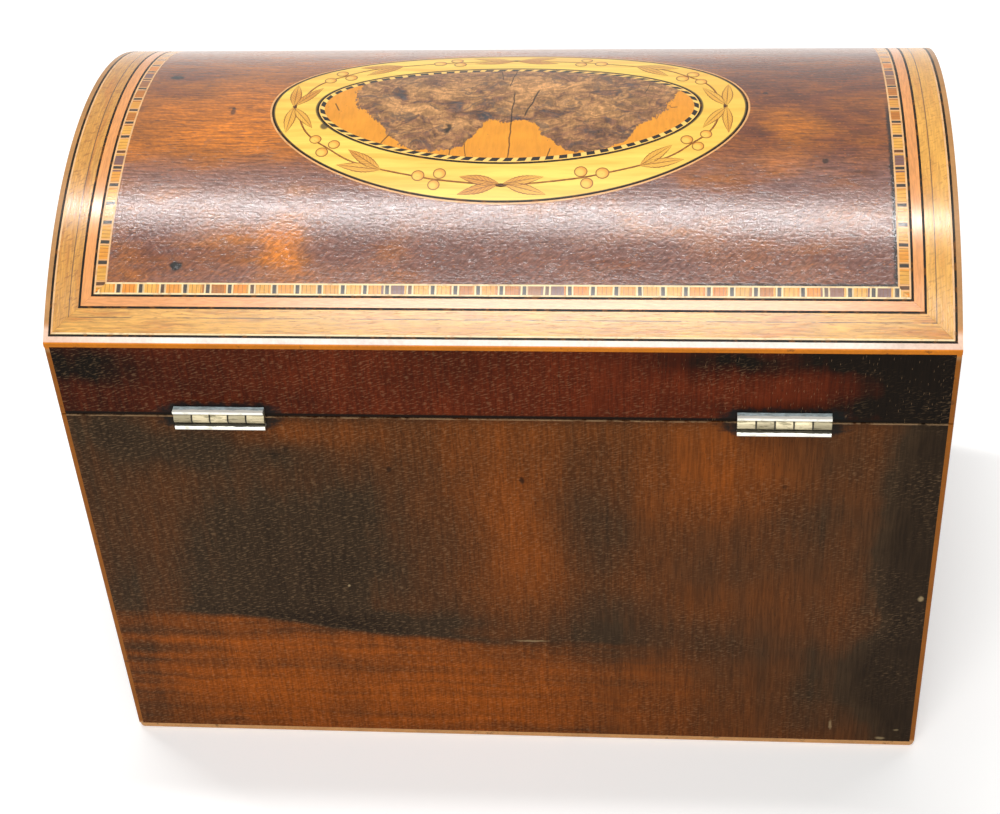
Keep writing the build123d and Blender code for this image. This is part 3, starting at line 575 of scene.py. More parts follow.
def satinwood(name, woods, seed, cracked):
    """Satinwood banding, its grain along each piece of the mitred frame."""
    f = Finish(name)
    ends = band_places(f)
    wavy = f.warped((8.0, 3.0, 9.0), 0.5, seed=seed + 9)
    tone = f.noise((16.0, 2.2, 9.0), 4.0, 0.6, seed=seed, place=wavy)
    body = f.tones(
        tone, (0.3, woods.satin_dark, 1.35), (0.5, woods.satin_light, 0.82),
        (0.68, woods.satin_light),
    )
    fibres = f.grain((5.0, 0.4, 9.0), seed=seed + 5, place=wavy, detail=4.0)
    body = f.shade(body, fibres, 0.72, 1.14)
    streaks = f.rise(f.noise((2.6, 0.34, 9.0), 3.0, 0.6, seed=seed + 3, place=wavy), 0.58, 0.68)
    body = f.lay(body, streaks * 0.6, woods.satin_dark, 0.7)
    chevron = f.rise(f.noise((0.5, 1.8, 9.0), 3.0, 0.6, seed=seed + 7, place=f.turned(34.0)), 0.52, 0.66)
    figured = ends + f.rise(f.noise((9.0, 9.0, 9.0), 2.0, seed=seed + 8), 0.5, 0.7) * 0.3
    body = f.lay(body, chevron * figured * 0.6, woods.satin_dark, 0.55)
    stain = f.rise(f.noise((5.0, 2.0, 9.0), 4.0, 0.7, seed=seed + 11), 0.6, 0.74)
    body = f.lay(body, stain * ends * 0.4, woods.umber)
    golden = f.rise(f.x, -70.0, -88.0)
    body = f.lay(body, ends * (1.0 - golden) * 0.3, woods.satin_dark)
    body = f.lay(body, golden * ends * 0.4, woods.satin_light)
    if cracked:
        gap = f.rise(inward(f, "dome_wide_band_inner", ends), 0.3, 0.05)
        crack_here = f.rise(f.noise((8.0, 8.0, 9.0), 3.0, 0.7, seed=55.0) + ends * 0.25, 0.4, 0.52)
        body = f.lay(body, gap * crack_here * 0.9, woods.ebony, 0.8)
    height = streaks * -0.5 + fibres * 0.5 + tone
    return f.done(body, 0.19 + tone * 0.1, height, 0.012, shine=0.66)


def inward(f, node, ends):
    """Millimetres inwards from the outer edge of a mitred band of the dome."""
    high = span(node)[1]
    return choose(ends, arc_at(high.y) - abs(f.arc), high.x - abs(f.x))


def plain_banding(woods):
    """Pink tulipwood band, nearly plain."""
    f = Finish("tulipwood_banding")
    band_places(f)
    tone = f.noise((26.0, 1.4, 9.0), 4.0, 0.6, seed=14.0)
    body = f.shade(linear(woods.tulip), tone, 0.72, 1.28)
    body = f.shade(body, f.grain((3.0, 0.4, 9.0), seed=3.0), 0.88, 1.1)
    return f.done(body, 0.21, tone, 0.012, shine=0.72)


def ladder_banding(woods, pitch):
    """Golden blocks parted by a dark bar between two pale ones."""
    f = Finish("ladder_banding")
    ends = band_places(f)
    slack = (f.noise((11.0, 11.0, 9.0), 2.0, seed=41.0) - 0.5) * 0.7
    count = (f.along + slack) / pitch + 0.5 * ends
    phase = f.math("FRACT", count)
    gold_luck = f.chance(count)
    dark_luck = f.chance(count + 40.0)
    grain = f.noise((0.3, 3.0, 9.0), 3.0, 0.65, seed=5.0)
    gold = f.tones(
        gold_luck,
        (0.03, woods.plum, 1.7), (0.1, woods.satin_dark), (0.35, woods.box, 1.2),
        (0.65, woods.satin_light, 0.86), (0.95, woods.satin_light),
    )
    gold = f.shade(gold, grain, 0.45, 1.5)
    toned = f.blend(ends, linear(woods.holly), linear(woods.toned, 1.1))
    body = f.blend(f.between(phase, 0.59, 0.91, 0.02), gold, toned)
    fine = f.math("FRACT", phase * 5.2 + dark_luck * 3.0)
    body = f.lay(body, f.rise(abs(fine - 0.5), 0.16, 0.04) * 0.5, woods.satin_dark, 0.5)
    brown = f.rise(dark_luck, 0.6, 0.9)
    dark = f.blend(brown * 0.7, linear(woods.ebony, 2.4), linear(woods.satin_dark, 0.4))
    body = f.blend(f.between(phase, 0.665, 0.835, 0.02), body, f.shade(dark, grain, 0.4, 1.6))
    return f.done(body, 0.2, grain, 0.012, shine=0.5)


def line_wood(name, woods, colour, aged, share, shine):
    """Thin line of the marquetry, broken by wear, its end pieces darker by a share."""
    f = Finish(name)
    f.dome_surface()
    tone = f.noise((3.0, 3.0, 3.0), 4.0, 0.65, seed=2.0)
    body = f.blend(on_ends(f) * share, linear(colour), linear(aged))
    body = f.shade(body, tone, 0.6, 1.4)
    wear = f.rise(f.noise((2.2, 2.2, 2.2), 4.0, 0.7, seed=6.0), 0.52, 0.64)
    body = f.lay(body, wear * 0.4, woods.satin_dark, 0.8)
    return f.done(body, 0.3, tone, 0.008, shine=shine)


def boxwood(woods):
    """Stringing on the arrises: pale on the dome's face through a painted highlight, golden brown on its
    sides, stained in places.
    """
    f = Finish("boxwood_stringing")
    f.upright_surface()
    tone = f.noise((9.0, 9.0, 9.0), 4.0, 0.6, seed=3.0)
    fine = f.noise((0.8, 0.8, 0.8), 3.0, 0.6, seed=8.0)
    side_y = f.rise(abs(f.y), HALF_DEPTH - 0.14, HALF_DEPTH - 0.04)
    side_x = f.rise(abs(f.x), HALF_WIDTH - 0.14, HALF_WIDTH - 0.04)
    side = f.math("MAXIMUM", side_x, side_y)
    upper = f.rise(f.z, LID_WALL_TOP - 1.0, LID_WALL_TOP)
    upper = upper * f.rise(abs(f.y), HALF_DEPTH - 4.0, HALF_DEPTH - 2.0)
    # Painted highlight: the dome's face of the long edge strings is turned pale, less so towards the ends.
    lightened = f.rise(abs(f.y), HALF_DEPTH - 0.15, HALF_DEPTH - 0.32) * upper
    lightened = lightened * (0.92 - f.rise(abs(f.x), HALF_WIDTH - 26.0, HALF_WIDTH) * 0.4)
    body = f.blend(lightened, linear(woods.box), linear(woods.string_highlight))
    ends = f.rise(abs(f.x), HALF_WIDTH - 1.5, HALF_WIDTH - 1.2) * (1.0 - upper)
    body = f.lay(body, ends, woods.toned, 0.62)
    upright = f.rise(f.z, LID_WALL_TOP - 0.5, LID_WALL_TOP - 2.0) * f.rise(f.z, 1.5, 2.5)
    body = f.lay(body, upright, woods.box, 0.48)
    body = f.lay(body, f.rise(f.z, 2.5, 1.5), woods.toned, 0.95)
    body = f.shade(body, tone, 0.7, 1.3)
    body = f.shade(body, fine, 0.8, 1.2)
    darkening = f.rise(f.noise((3.0, 3.0, 3.0), 4.0, 0.7, seed=11.0), 0.6, 0.72)
    body = f.lay(body, darkening * side * 0.55, woods.cloud, 0.6)
    return f.done(body, 0.3, fine, 0.015, shine=0.15)


# Marks of the field and the ring, in millimetres along the box and along the curve towards the hinges
FIELD_SPOTS = (
    ((74.2, -13.7), (1.5, 0.9), 1.0), ((65.5, 43.3), (1.2, 1.0), 1.0), ((-54.2, -5.2), (0.5, 0.4), 0.8),
    ((58.9, 1.7), (0.5, 1.3), 0.7), ((-66.0, 17.6), (0.7, 0.6), 0.8), ((59.5, 0.4), (0.9, 0.35), 0.6),
)
FIELD_FLAMES = (
    ((50.0, 3.0), (17.0, 9.0), 0.5), ((43.5, 38.5), (4.0, 5.5), 0.7), ((-60.0, 5.5), (5.0, 4.5), 0.6),
    ((-57.0, 18.0), (4.0, 3.0), 0.5), ((68.0, 12.0), (16.0, 9.0), 0.3), ((-45.0, 38.0), (10.0, 5.0), 0.25),
    ((20.0, 40.0), (6.0, 7.0), 0.2), ((-72.0, 32.0), (8.0, 6.0), 0.35), ((60.0, 36.0), (9.0, 5.0), 0.2),
)
FIELD_SHADES = (
    ((10.0, 38.0), (20.0, 7.0), 0.4), ((30.0, 33.0), (7.0, 12.0), 0.35), ((-78.0, 38.0), (9.0, 12.0), 0.2),
    ((70.0, 40.0), (14.0, 9.0), 0.3), ((-58.0, -2.0), (14.0, 12.0), 0.2), ((-20.0, 42.0), (30.0, 6.0), 0.15),
    ((-70.0, -16.0), (22.0, 10.0), 0.2), ((76.0, -22.0), (14.0, 12.0), 0.2),
)
RING_SPOTS = (
    ((38.5, 6.9), (0.9, 1.1), 1.0), ((19.0, 26.3), (0.5, 0.4), 0.6), ((36.6, 22.0), (0.5, 0.5), 0.4),
)


def dome_mahogany(woods):
    """Field of the dome: mottled mahogany with its grain along the box."""
    f = Finish("dome_mahogany")
    f.dome_surface()
    soft = f.warped((10.0, 6.0, 9.0), 3.6, seed=2.0)
    mottle = f.noise((16.0, 6.0, 9.0), 4.0, 0.55, seed=5.0, distortion=0.5)
    tone = 0.2 + mottle * 0.62 + f.patches(FIELD_FLAMES, 0.8, soft) * 0.42
    tone = tone - f.patches(FIELD_SHADES, 0.8, soft) * 0.38
    tone = tone - f.rise(f.arc, 18.0, 34.0) * 0.05 - f.rise(f.x, 20.0, -40.0) * 0.1
    body = f.tones(
        tone, (0.12, woods.dome_dark, 0.8), (0.32, woods.dome_dark, 1.4),
        (0.54, woods.dome_middle), (0.86, woods.dome_light),
    )
    faded = f.noise((22.0, 9.0, 9.0), 3.0, seed=9.0) - tone * 0.4
    purple = f.rise(f.arc, 12.0, 23.0) * f.rise(faded, 0.12, 0.38)
    purple = purple * (0.46 + f.rise(f.arc, 38.0, 28.0) * 0.34)
    body = f.lay(body, purple, woods.plum, 1.8)
    wavy = f.warped((7.0, 2.6, 9.0), 0.8, seed=19.0)
    lines = f.grain((7.0, 0.45, 9.0), seed=1.0, place=wavy, detail=4.0)
    low = f.rise(f.arc + (mottle - 0.5) * 20.0, 20.0, 34.0)
    strokes = f.grain((1.7, 0.5, 9.0), seed=71.0, place=f.turned(-40.0))
    body = f.shade(body, choose(low, lines, strokes), 0.62, 1.28)
    curl = f.grain((1.2, 0.7, 9.0), seed=13.0, place=f.turned(20.0))
    body = f.shade(body, curl, 0.84, 1.14)
    dashes = f.rise(f.noise((3.2, 0.36, 9.0), 2.0, 0.6, seed=27.0, place=wavy), 0.57, 0.66)
    body = f.lay(body, dashes * (1.0 - low * 0.6) * 0.55, woods.dome_dark, 0.5)
    glints = f.specks((1.4, 0.6, 9.0), 0.22, seed=17.0)
    body = f.lay(body, glints * 0.3, woods.dome_light, 1.2)
    spots = f.patches(FIELD_SPOTS, 0.35, f.warped((1.5, 1.5, 1.5), 0.5))
    body = f.lay(body, spots, woods.ebony, 0.5)
    ragged = f.noise((2.0, 1.1, 9.0), 4.0, 0.7, seed=23.0) * 1.3
    right_edge = f.rise(f.x + FIELD_HIGH.x - ragged, 0.35, -0.25) * f.rise(f.arc, -4.0, 4.0)
    low_edge = f.rise(arc_at(FIELD_HIGH.y) - f.arc - ragged * 0.8, 0.2, -0.25)
    low_edge = low_edge * f.rise(f.x, -20.0, -50.0)
    body = f.lay(body, f.math("MAXIMUM", right_edge, low_edge) * 0.9, woods.ebony, 0.6)
    ripple = f.noise((2.4, 0.8, 9.0), 3.0, 0.6, seed=51.0)
    height = lines * 0.2 + curl * 0.4 - dashes * 0.3 + ripple * 0.3
    rough = 0.12 + mottle * 0.05 + curl * 0.06
    return f.done(body, rough, height, 0.028, shine=0.58)


def ring_satinwood(woods):
    """Yellow satinwood of the oval ring, with faint grain along the box."""
    f = Finish("ring_satinwood")
    f.dome_surface()
    soft = f.warped((18.0, 5.0, 9.0), 2.0, seed=4.0)
    tone = f.noise((34.0, 2.2, 9.0), 4.0, 0.55, seed=3.0, place=soft)
    body = f.tones(tone, (0.3, woods.ring_dark), (0.62, woods.ring_light))
    body = f.lay(body, f.rise(f.x, -26.0, -44.0) * 0.5, woods.ring_dark)
    ray = f.noise((11.0, 0.4, 9.0), 3.0, 0.6, seed=8.0, place=soft)
    body = f.lay(body, f.rise(ray, 0.58, 0.7) * 0.28, woods.scorch)
    inner_edge = f.rise(oval_share(f, RING_INNER_X, RING_INNER_Y), 1.012, 1.004)
    outer_edge = f.rise(oval_share(f, RING_HIGH.x, RING_HIGH.y), 0.992, 0.997)
    body = f.lay(body, f.math("MAXIMUM", inner_edge, outer_edge) * 0.9, woods.ebony)
    body = f.lay(body, f.patches(RING_SPOTS, 0.3) * 0.85, woods.ebony, 1.4)
    return f.done(body, 0.3 + tone * 0.1, ray, 0.008, shine=0.35)


def oval_share(f, half_x, half_y):
    """Distance from the oval's middle, where 1 lies on the oval with these half axes."""
    return f.length(f.vector(f.x / half_x, f.y / half_y, 0.0))


def oval_arc_terms(half_x, half_y, count=4, steps=720):
    """Length of one radian and the sine terms that turn an oval's angle into a length along it."""
    angles = [math.tau * i / steps for i in range(steps + 1)]
    pace = [math.hypot(half_x * math.sin(a), half_y * math.cos(a)) for a in angles]
    length = [0.0]
    for i in range(steps):
        length.append(length[-1] + (pace[i] + pace[i + 1]) / 2 * math.tau / steps)
    mean = length[-1] / math.tau
    waves = [
        sum((length[i] - mean * angles[i]) * math.sin(2 * k * angles[i]) for i in range(steps)) * 2 / steps
        for k in range(1, count + 1)
    ]
    return mean, waves


def rope_string(woods, pitch):
    """Black and pale slices, set aslant, that run evenly round the oval."""
    f = Finish("rope_stringing")
    f.upright_surface()
    width = ROPE_HIGH.x - PANEL_HIGH.x
    half_x, half_y = ROPE_HIGH.x - width / 2, ROPE_HIGH.y - width / 2
    mean, waves = oval_arc_terms(half_x, half_y)
    angle = f.math("ARCTAN2", f.y / half_y, f.x / half_x)
    length = angle * mean
    for k, wave in enumerate(waves, start=1):
        length = length + f.math("SINE", angle * (2.0 * k)) * wave
    outside = 1.0 - oval_share(f, ROPE_HIGH.x, ROPE_HIGH.y)
    inside = oval_share(f, PANEL_HIGH.x, PANEL_HIGH.y) - 1.0
    across = outside / (outside + inside)
    slices = round(mean * math.tau / pitch)
    phase = f.math("FRACT", length * (slices / (mean * math.tau)) - across * 0.3 + 20.0)
    black = f.between(phase, 0.16, 0.76, 0.03) * f.rise(across, 0.12, 0.24)
    tone = f.noise((1.2, 1.2, 1.2), 3.0, seed=4.0)
    pale = f.shade(f.blend(tone, linear(woods.ring_light), linear(woods.toned)), tone, 0.9, 1.3)
    body = f.blend(black, pale, linear(woods.ebony, 0.6))
    return f.done(body, 0.32, tone, 0.008, shine=0.35)


# Burr panel, placed as the marks of the field; a crack has its two ends and half its width
BURR_LOBES = (
    ((16.0, -5.0), (17.0, 13.5), 1.0), ((15.4, 5.0), (10.3, 9.7), 1.0), ((-17.5, -4.0), (16.8, 13.5), 1.0),
    ((-17.2, 5.0), (10.6, 9.9), 1.0), ((-1.0, -8.0), (13.0, 13.3), 1.0), ((0.0, -15.0), (36.0, 9.0), 1.0),
    ((-30.0, -8.0), (6.5, 6.0), 1.0),
)
BURR_FOLDS = (
    ((23.4, -6.0), (1.3, 3.6), 1.0), ((18.5, -2.0), (4.2, 1.0), 0.9), ((11.5, 0.3), (2.4, 1.8), 0.9),
    ((5.0, 3.2), (3.8, 1.4), 1.0), ((-2.5, 4.6), (3.6, 1.3), 1.0), ((-8.5, 2.6), (3.6, 1.0), 0.9),
    ((-25.0, -9.0), (3.4, 1.2), 0.8), ((-20.5, -5.8), (3.0, 1.0), 0.6), ((6.3, -6.8), (1.0, 0.9), 0.9),
    ((14.5, 11.0), (6.0, 3.5), 0.4), ((-16.0, 10.5), (7.5, 4.0), 0.45), ((-26.0, 4.0), (4.0, 5.0), 0.35),
    ((26.0, 4.0), (4.0, 5.0), 0.3),
)
BURR_EYES = (
    ((20.7, 0.8), (5.0, 2.4), 0.9), ((18.7, -6.4), (4.0, 2.0), 0.6), ((25.8, -1.8), (2.0, 3.0), 0.5),
    ((-3.7, -8.8), (4.6, 3.8), 0.9), ((-10.5, -9.3), (4.6, 2.4), 0.8), ((-20.4, 1.7), (3.6, 2.2), 0.8),
    ((-1.8, -2.6), (2.6, 2.0), 0.7), ((-6.6, 8.4), (2.0, 2.6), 0.7), ((-14.0, -2.0), (3.0, 1.6), 0.5),
    ((13.0, -6.0), (3.0, 1.8), 0.5), ((-22.0, -2.5), (4.0, 1.4), 0.5), ((10.0, 6.5), (3.0, 1.6), 0.4),
)
BURR_CRACKS = (
    ((-1.0, -6.3), (-1.0, 17.6), 0.1), ((2.6, -16.5), (1.9, -11.6), 0.07), ((-0.8, -16.5), (0.3, -8.3), 0.08),
    ((-6.4, -7.2), (-3.6, 4.0), 0.13), ((-9.8, 13.8), (-8.8, 17.3), 0.08), ((7.8, 17.0), (8.5, 11.2), 0.06),
    ((11.2, 13.8), (11.3, 16.3), 0.07), ((24.6, 9.8), (26.0, 12.5), 0.09), ((37.2, -1.4), (36.1, 1.5), 0.1),
    ((-29.8, -9.1), (-29.0, -5.2), 0.06), ((-34.3, 0.5), (-35.8, 0.3), 0.08),
)
BURR_SPOTS = (
    ((12.1, 8.0), (0.7, 1.4), 1.0), ((-19.5, 9.0), (0.4, 0.4), 0.7), ((-0.9, 17.4), (0.9, 0.6), 1.0),
)


def crack(f, start, end, half_width, wobble):
    """1 on a fine line from one place of the dome to another, pointed at both ends."""
    run = math.dist(start, end)
    lean_x, lean_y = (end[0] - start[0]) / run, (end[1] - start[1]) / run
    u = f.x + wobble - (start[0] + end[0]) / 2
    v = f.arc - (start[1] + end[1]) / 2
    beside = u * lean_y - v * lean_x
    beyond = u * lean_x + v * lean_y
    within = f.rise(abs(beyond), run * 0.55, run * 0.4)
    return f.rise(abs(beside), 2.2 * half_width, 0.6 * half_width) * within


def burr_panel(woods):
    """Swirling burr in two lobes over plain orange sapwood, with shrinkage cracks."""
    f = Finish("burr_walnut")
    f.dome_surface()
    ragged = f.warped((2.6, 2.6, 9.0), 1.7, seed=6.0)
    lobes = f.patches(BURR_LOBES, 0.12, ragged)
    teeth = (f.noise((0.55, 1.8, 9.0), 4.0, 0.7, seed=12.0) - 0.5) * 1.5
    burr = f.rise(lobes + teeth, 0.4, 0.55)
    swirl_place = f.warped((8.0, 6.0, 9.0), 6.0, seed=1.0)
    swirl = f.noise((5.0, 3.0, 9.0), 5.0, 0.6, seed=2.0, place=swirl_place, distortion=0.9)
    folds = f.noise((1.8, 0.9, 9.0), 4.0, 0.62, seed=7.0, place=swirl_place, distortion=1.4)
    wavy = f.warped((5.0, 4.0, 9.0), 3.2, seed=9.0)
    shade = swirl * 0.68 + folds * 0.36 + f.patches(BURR_EYES, 0.6, wavy) * 0.22
    shade = shade - f.patches(BURR_FOLDS, 0.6, wavy) * 0.18
    figured = f.tones(
        shade, (0.28, woods.burr_slate), (0.42, woods.burr_dark),
        (0.56, woods.burr_light, 0.76), (0.7, woods.burr_light),
        (0.9, woods.burr_light, 1.2),
    )
    rim = f.rise(lobes + teeth, 1.1, 0.5)
    figured = f.lay(figured, rim * 0.4, woods.burr_dark, 0.8)
    combed = f.warped((4.0, 4.0, 9.0), 1.2, seed=44.0)
    fibres = f.grain((0.4, 2.2, 9.0), seed=3.0, place=combed)
    figured = f.shade(figured, fibres, 0.84, 1.12)
    whorls = f.grain((1.3, 0.6, 9.0), seed=15.0, place=swirl_place)
    figured = f.shade(figured, whorls, 0.92, 1.07)
    growth = f.math("FRACT", f.noise((11.0, 6.5, 9.0), 3.0, 0.5, seed=81.0, place=wavy) * 8.0)
    figured = f.shade(figured, f.rise(abs(growth - 0.5), 0.05, 0.5), 0.68, 1.2)
    veins = f.rise(abs(f.noise((8.0, 4.4, 9.0), 3.0, 0.5, seed=61.0, place=wavy) - 0.5), 0.03, 0.012)
    veins = veins * f.rise(f.noise((9.0, 9.0, 9.0), 1.0, seed=64.0), 0.4, 0.55)
    figured = f.lay(figured, veins * 0.5, woods.burr_slate, 0.9)
    sap = f.shade(linear(woods.sapwood), f.noise((0.8, 4.0, 9.0), 4.0, 0.6, seed=4.0), 0.78, 1.22)
    sap = f.shade(sap, f.noise((9.0, 6.0, 9.0), 3.0, seed=24.0), 0.8, 1.2)
    body = f.blend(burr, sap, figured)
    flecks = f.specks((1.3, 1.9, 9.0), 0.1, seed=19.0)
    body = f.lay(body, flecks * 0.5, woods.burr_dark, 0.6)
    wobble = (f.noise((9.0, 4.0, 9.0), 3.0, seed=30.0) - 0.5) * 0.9
    lines = 0.0
    for start, end, half_width in BURR_CRACKS:
        lines = crack(f, start, end, half_width, wobble) + lines
    body = f.lay(body, lines * 0.85, woods.ebony, 0.6)
    body = f.lay(body, f.patches(BURR_SPOTS, 0.4, ragged) * 0.9, woods.ebony, 1.0)
    height = fibres * 0.3 + shade * 0.5 - lines
    return f.done(body, 0.28 + shade * 0.1, height, 0.02, shine=0.35)


def board_wood(name, along, colour):
    """Plain board with straight grain and pores along one axis."""
    f = Finish(name)
    streak = tuple(40.0 if axis == along else 1.6 for axis in "xyz")
    pore = tuple(9.0 if axis == along else 0.35 for axis in "xyz")
    tone = f.noise(streak, 4.0, 0.6, seed=4.0, distortion=0.3)
    pores = f.noise(pore, 3.0, 0.6, seed=7.0)
    body = f.shade(linear(colour), tone, 0.4, 1.6)
    body = f.shade(body, pores, 0.6, 1.4)
    return f.done(body, 0.4 + tone * 0.1, pores, 0.02, shine=0.25)


def brass_finish(metal):
    """Worn silvery brass: bright strips, creamy knuckles, a painted blue grey reflection and a painted
    highlight on top, and tarnish with painted shade in the corners between them.
    """
    f = Finish("hinge_brass")
    cloud = f.noise((2.2, 1.2, 0.9), 4.0, 0.6, seed=2.0)
    scratches = f.noise((5.0, 0.2, 0.2), 3.0, 0.7, seed=9.0)
    from_axis = f.z - HINGE_AXIS
    place = (abs(f.x) - HINGE_LOW.x) / (HINGE_LENGTH / KNUCKLES)
    top = f.rise(from_axis, SHOULDER_HIGH - 0.1, SHOULDER_HIGH - 0.02)
    # Painted highlight along the back edge of the top face.
    top_edge_highlight = f.rise(f.y + (cloud - 0.5) * 0.8, HINGE_HIGH.y - 1.0, HINGE_HIGH.y - 0.6) * top
    strip = f.rise(abs(from_axis), 1.5, 1.65)
    knuckle = f.shade(linear(metal.brass), f.chance(place), 0.4, 0.85)
    body = f.blend(strip, knuckle, linear(metal.lightened))
    body = f.lay(body, f.rise(cloud, 0.5, 0.66) * 0.35, metal.tarnish_and_shade)
    speckled = f.grain((1.4, 0.35, 0.35), seed=12.0)
    # Painted reflection: the top face is tinted blue grey, with tarnish specks, for the light it catches from
    # above.
    body = f.lay(body, top * 0.8, metal.top_reflection)
    body = f.lay(body, top * speckled * 0.5, metal.tarnish_and_shade, 0.2)
    body = f.lay(body, top_edge_highlight * 0.9, metal.lightened, 1.1)
    smudges = f.rise(f.noise((2.6, 0.5, 0.45), 3.0, 0.6, seed=17.0), 0.52, 0.62) * (1.0 - strip)
    body = f.lay(body, smudges * 0.6, metal.tarnish_and_shade, 0.3)
    body = f.shade(body, scratches, 0.8, 1.2)
    # Tarnish and painted shade: darker lines in the gaps between the knuckles, below them and above them.
    gap = abs(f.math("FRACT", place + 0.5) - 0.5)
    inside = f.between(place, 0.4, KNUCKLES - 0.4, 0.05) * f.between(from_axis, -1.45, 1.5, 0.1)
    darkening = f.rise(gap, 0.07, 0.02) * inside
    uneven = f.noise((2.0, 2.0, 2.0), 3.0, seed=30.0) - 0.5
    under = f.between(from_axis + uneven * 0.4, -1.62, -1.2, 0.08)
    over = f.between(from_axis + uneven * 0.6, 1.28, 1.62, 0.1) * 0.6
    darkening = f.math("MAXIMUM", darkening, f.math("MAXIMUM", under, over))
    body = f.lay(body, darkening * 0.92, metal.tarnish_and_shade, 0.08)
    rough = 0.3 + cloud * 0.2 + top * 0.2 + darkening * 0.4
    # The top face with its painted reflection, and the painted shade in the gaps, are made less metallic.
    bare = 1.0 - top * 0.85 - darkening * 0.9 * (1.0 - top)
    return f.done(body, rough, scratches - darkening, 0.015, metallic=bare)


def plain_metal(name, colour, rough):
    """Filed metal with a fine grain and duller clouds."""
    f = Finish(name)
    cloud = f.noise((4.0, 4.0, 4.0), 4.0, 0.6, seed=5.0)
    filed = f.noise((5.0, 0.15, 0.15), 3.0, 0.7, seed=6.0)
    body = f.shade(linear(colour), cloud, 0.6, 1.3)
    return f.done(body, rough + cloud * 0.2, filed, 0.01, metallic=1.0)


def start_piece():
    """Leaves nothing selected, so that the next primitive is on its own."""
    bpy.ops.object.select_all(action="DESELECT")


def settle(piece, name, body, material):
    """Names a finished piece, puts its place in its mesh, and gives it its body and material."""
    piece.name = name
    piece.data.name = name
    start_piece()
    piece.select_set(True)
    bpy.context.view_layer.objects.active = piece
    bpy.ops.object.transform_apply(location=True, rotation=True, scale=True)
    dress(material, name)
    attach(piece, body)


def join_pieces(pieces):
    """Joins several pieces into the first."""
    start_piece()
    for piece in pieces:
        piece.select_set(True)
    bpy.context.view_layer.objects.active = pieces[0]
    bpy.ops.object.join()
    return pieces[0]


def copy_piece(master, place):
    """A copy of a piece with its own mesh, moved by a matrix."""
    copy = master.copy()
    copy.data = master.data.copy()
    copy.data.transform(place)
    bpy.context.scene.collection.objects.link(copy)
    return copy


def lay_on_dome(piece, lift):
    """Bends a flat piece onto the dome's face, that far above it, in metres."""
    for vertex in piece.data.vertices:
        vertex.co.z += dome_height(vertex.co.y * MM) / MM + lift
    piece.data.update()


def thicken(piece, thickness):
    """Gives the flat piece in hand its thickness, below its face."""
    solid = piece.modifiers.new("thickness", "SOLIDIFY")
    solid.thickness = thickness
    solid.offset = -1.0
    bpy.ops.object.modifier_apply(modifier=solid.name)


def model_leaf(inlay, thickness):
    """A flat toothed leaf from a grid, drawn in to both tips, its stalk end at the origin."""
    start_piece()
    bpy.ops.mesh.primitive_grid_add(x_subdivisions=40, y_subdivisions=4, size=1.0)
    leaf = bpy.context.active_object
    for vertex in leaf.data.vertices:
        share = vertex.co.x + 0.5
        tooth = 1.0 - TOOTH_DEPTH * (share * LEAF_TEETH % 1.0)
        belly = math.sin(math.pi * share**0.9) * (1.0 - LEAF_TIP) * tooth + LEAF_TIP
        vertex.co.x = share * inlay.leaf_length
        vertex.co.y *= inlay.leaf_width * belly
    thicken(leaf, thickness)
    return leaf


def model_berry(inlay, thickness):
    """A flat round berry, a fan of faces with its rim."""
    start_piece()
    bpy.ops.mesh.primitive_circle_add(vertices=24, radius=inlay.berry_radius, fill_type="TRIFAN")
    berry = bpy.context.active_object
    thicken(berry, thickness)
    return berry


def model_stem(points, width, thickness):
    """A pen line through points on the ring, flat, with a knot at both ends."""
    start_piece()
    bpy.ops.curve.primitive_nurbs_path_add()
    stem = bpy.context.active_object
    stem.data.splines.clear()
    spline = stem.data.splines.new("NURBS")
    spline.points.add(len(points) - 1)
    for point, (x, y) in zip(spline.points, points):
        point.co = (x / MM, y / MM, 0.0, 1.0)
    spline.order_u = 3
    spline.use_endpoint_u = True
    spline.points[0].radius = KNOT_SWELL
    spline.points[-1].radius = KNOT_SWELL
    stem.data.resolution_u = 8
    stem.data.bevel_depth = width / 2
    stem.data.bevel_resolution = 0
    stem.data.use_fill_caps = True
    bpy.ops.object.convert(target="MESH")
    flat = thickness / width
    for vertex in stem.data.vertices:
        vertex.co.z = (vertex.co.z - width / 2) * flat
    return stem


def penwork_leaf(woods):
    """Scorched leaf with a darker half, an outline and veins, drawn along the leaf."""
    f = Finish("garland_leaf")
    run, width, _ = f.parts(f.coordinates.outputs["UV"])
    side = abs(width - 0.5) * 2.0
    patchy = f.noise((1.6, 1.6, 1.6), 3.0, 0.6, seed=2.0)
    strength = f.rise(f.noise((11.0, 11.0, 11.0), 1.0, seed=6.0), 0.4, 0.62)
    body = f.blend(strength * 0.8 + 0.1, linear(woods.ring_dark), linear(woods.scorch, 0.86))
    body = f.shade(body, patchy, 0.84, 1.14)
    half = f.rise(width, 0.46, 0.54)
    body = f.lay(body, half * 0.25, woods.scorch, 0.85)
    veins = f.math("FRACT", run * 9.0 - side * 1.8 + 4.0)
    drawn = f.rise(abs(veins - 0.5), 0.16, 0.05) * f.rise(side, 0.98, 0.7)
    body = f.lay(body, drawn * (0.3 + strength * 0.4), woods.ink)
    outline = f.rise(side, 0.76, 0.9) + f.rise(side, 0.12, 0.03)
    body = f.lay(body, outline * 0.9, woods.ink, 0.8)
    return f.done(body, 0.34, patchy, 0.005, shine=0.35)


def penwork_berry(woods):
    """Berry with a ringed rim and a shaded side, drawn from its own map."""
    f = Finish("garland_berry")
    f.surface = Signal(f, f.coordinates.outputs["UV"])
    rim = f.patch((0.5, 0.5), (0.42, 0.42), 0.1)
    light = f.patch((0.6, 0.6), (0.34, 0.34), 0.5)
    body = f.blend(light * 0.75, linear(woods.scorch), linear(woods.ring_light, 0.9))
    body = f.lay(body, (1.0 - rim) * 0.9, woods.ink, 0.8)
    return f.done(body, 0.34, shine=0.35)


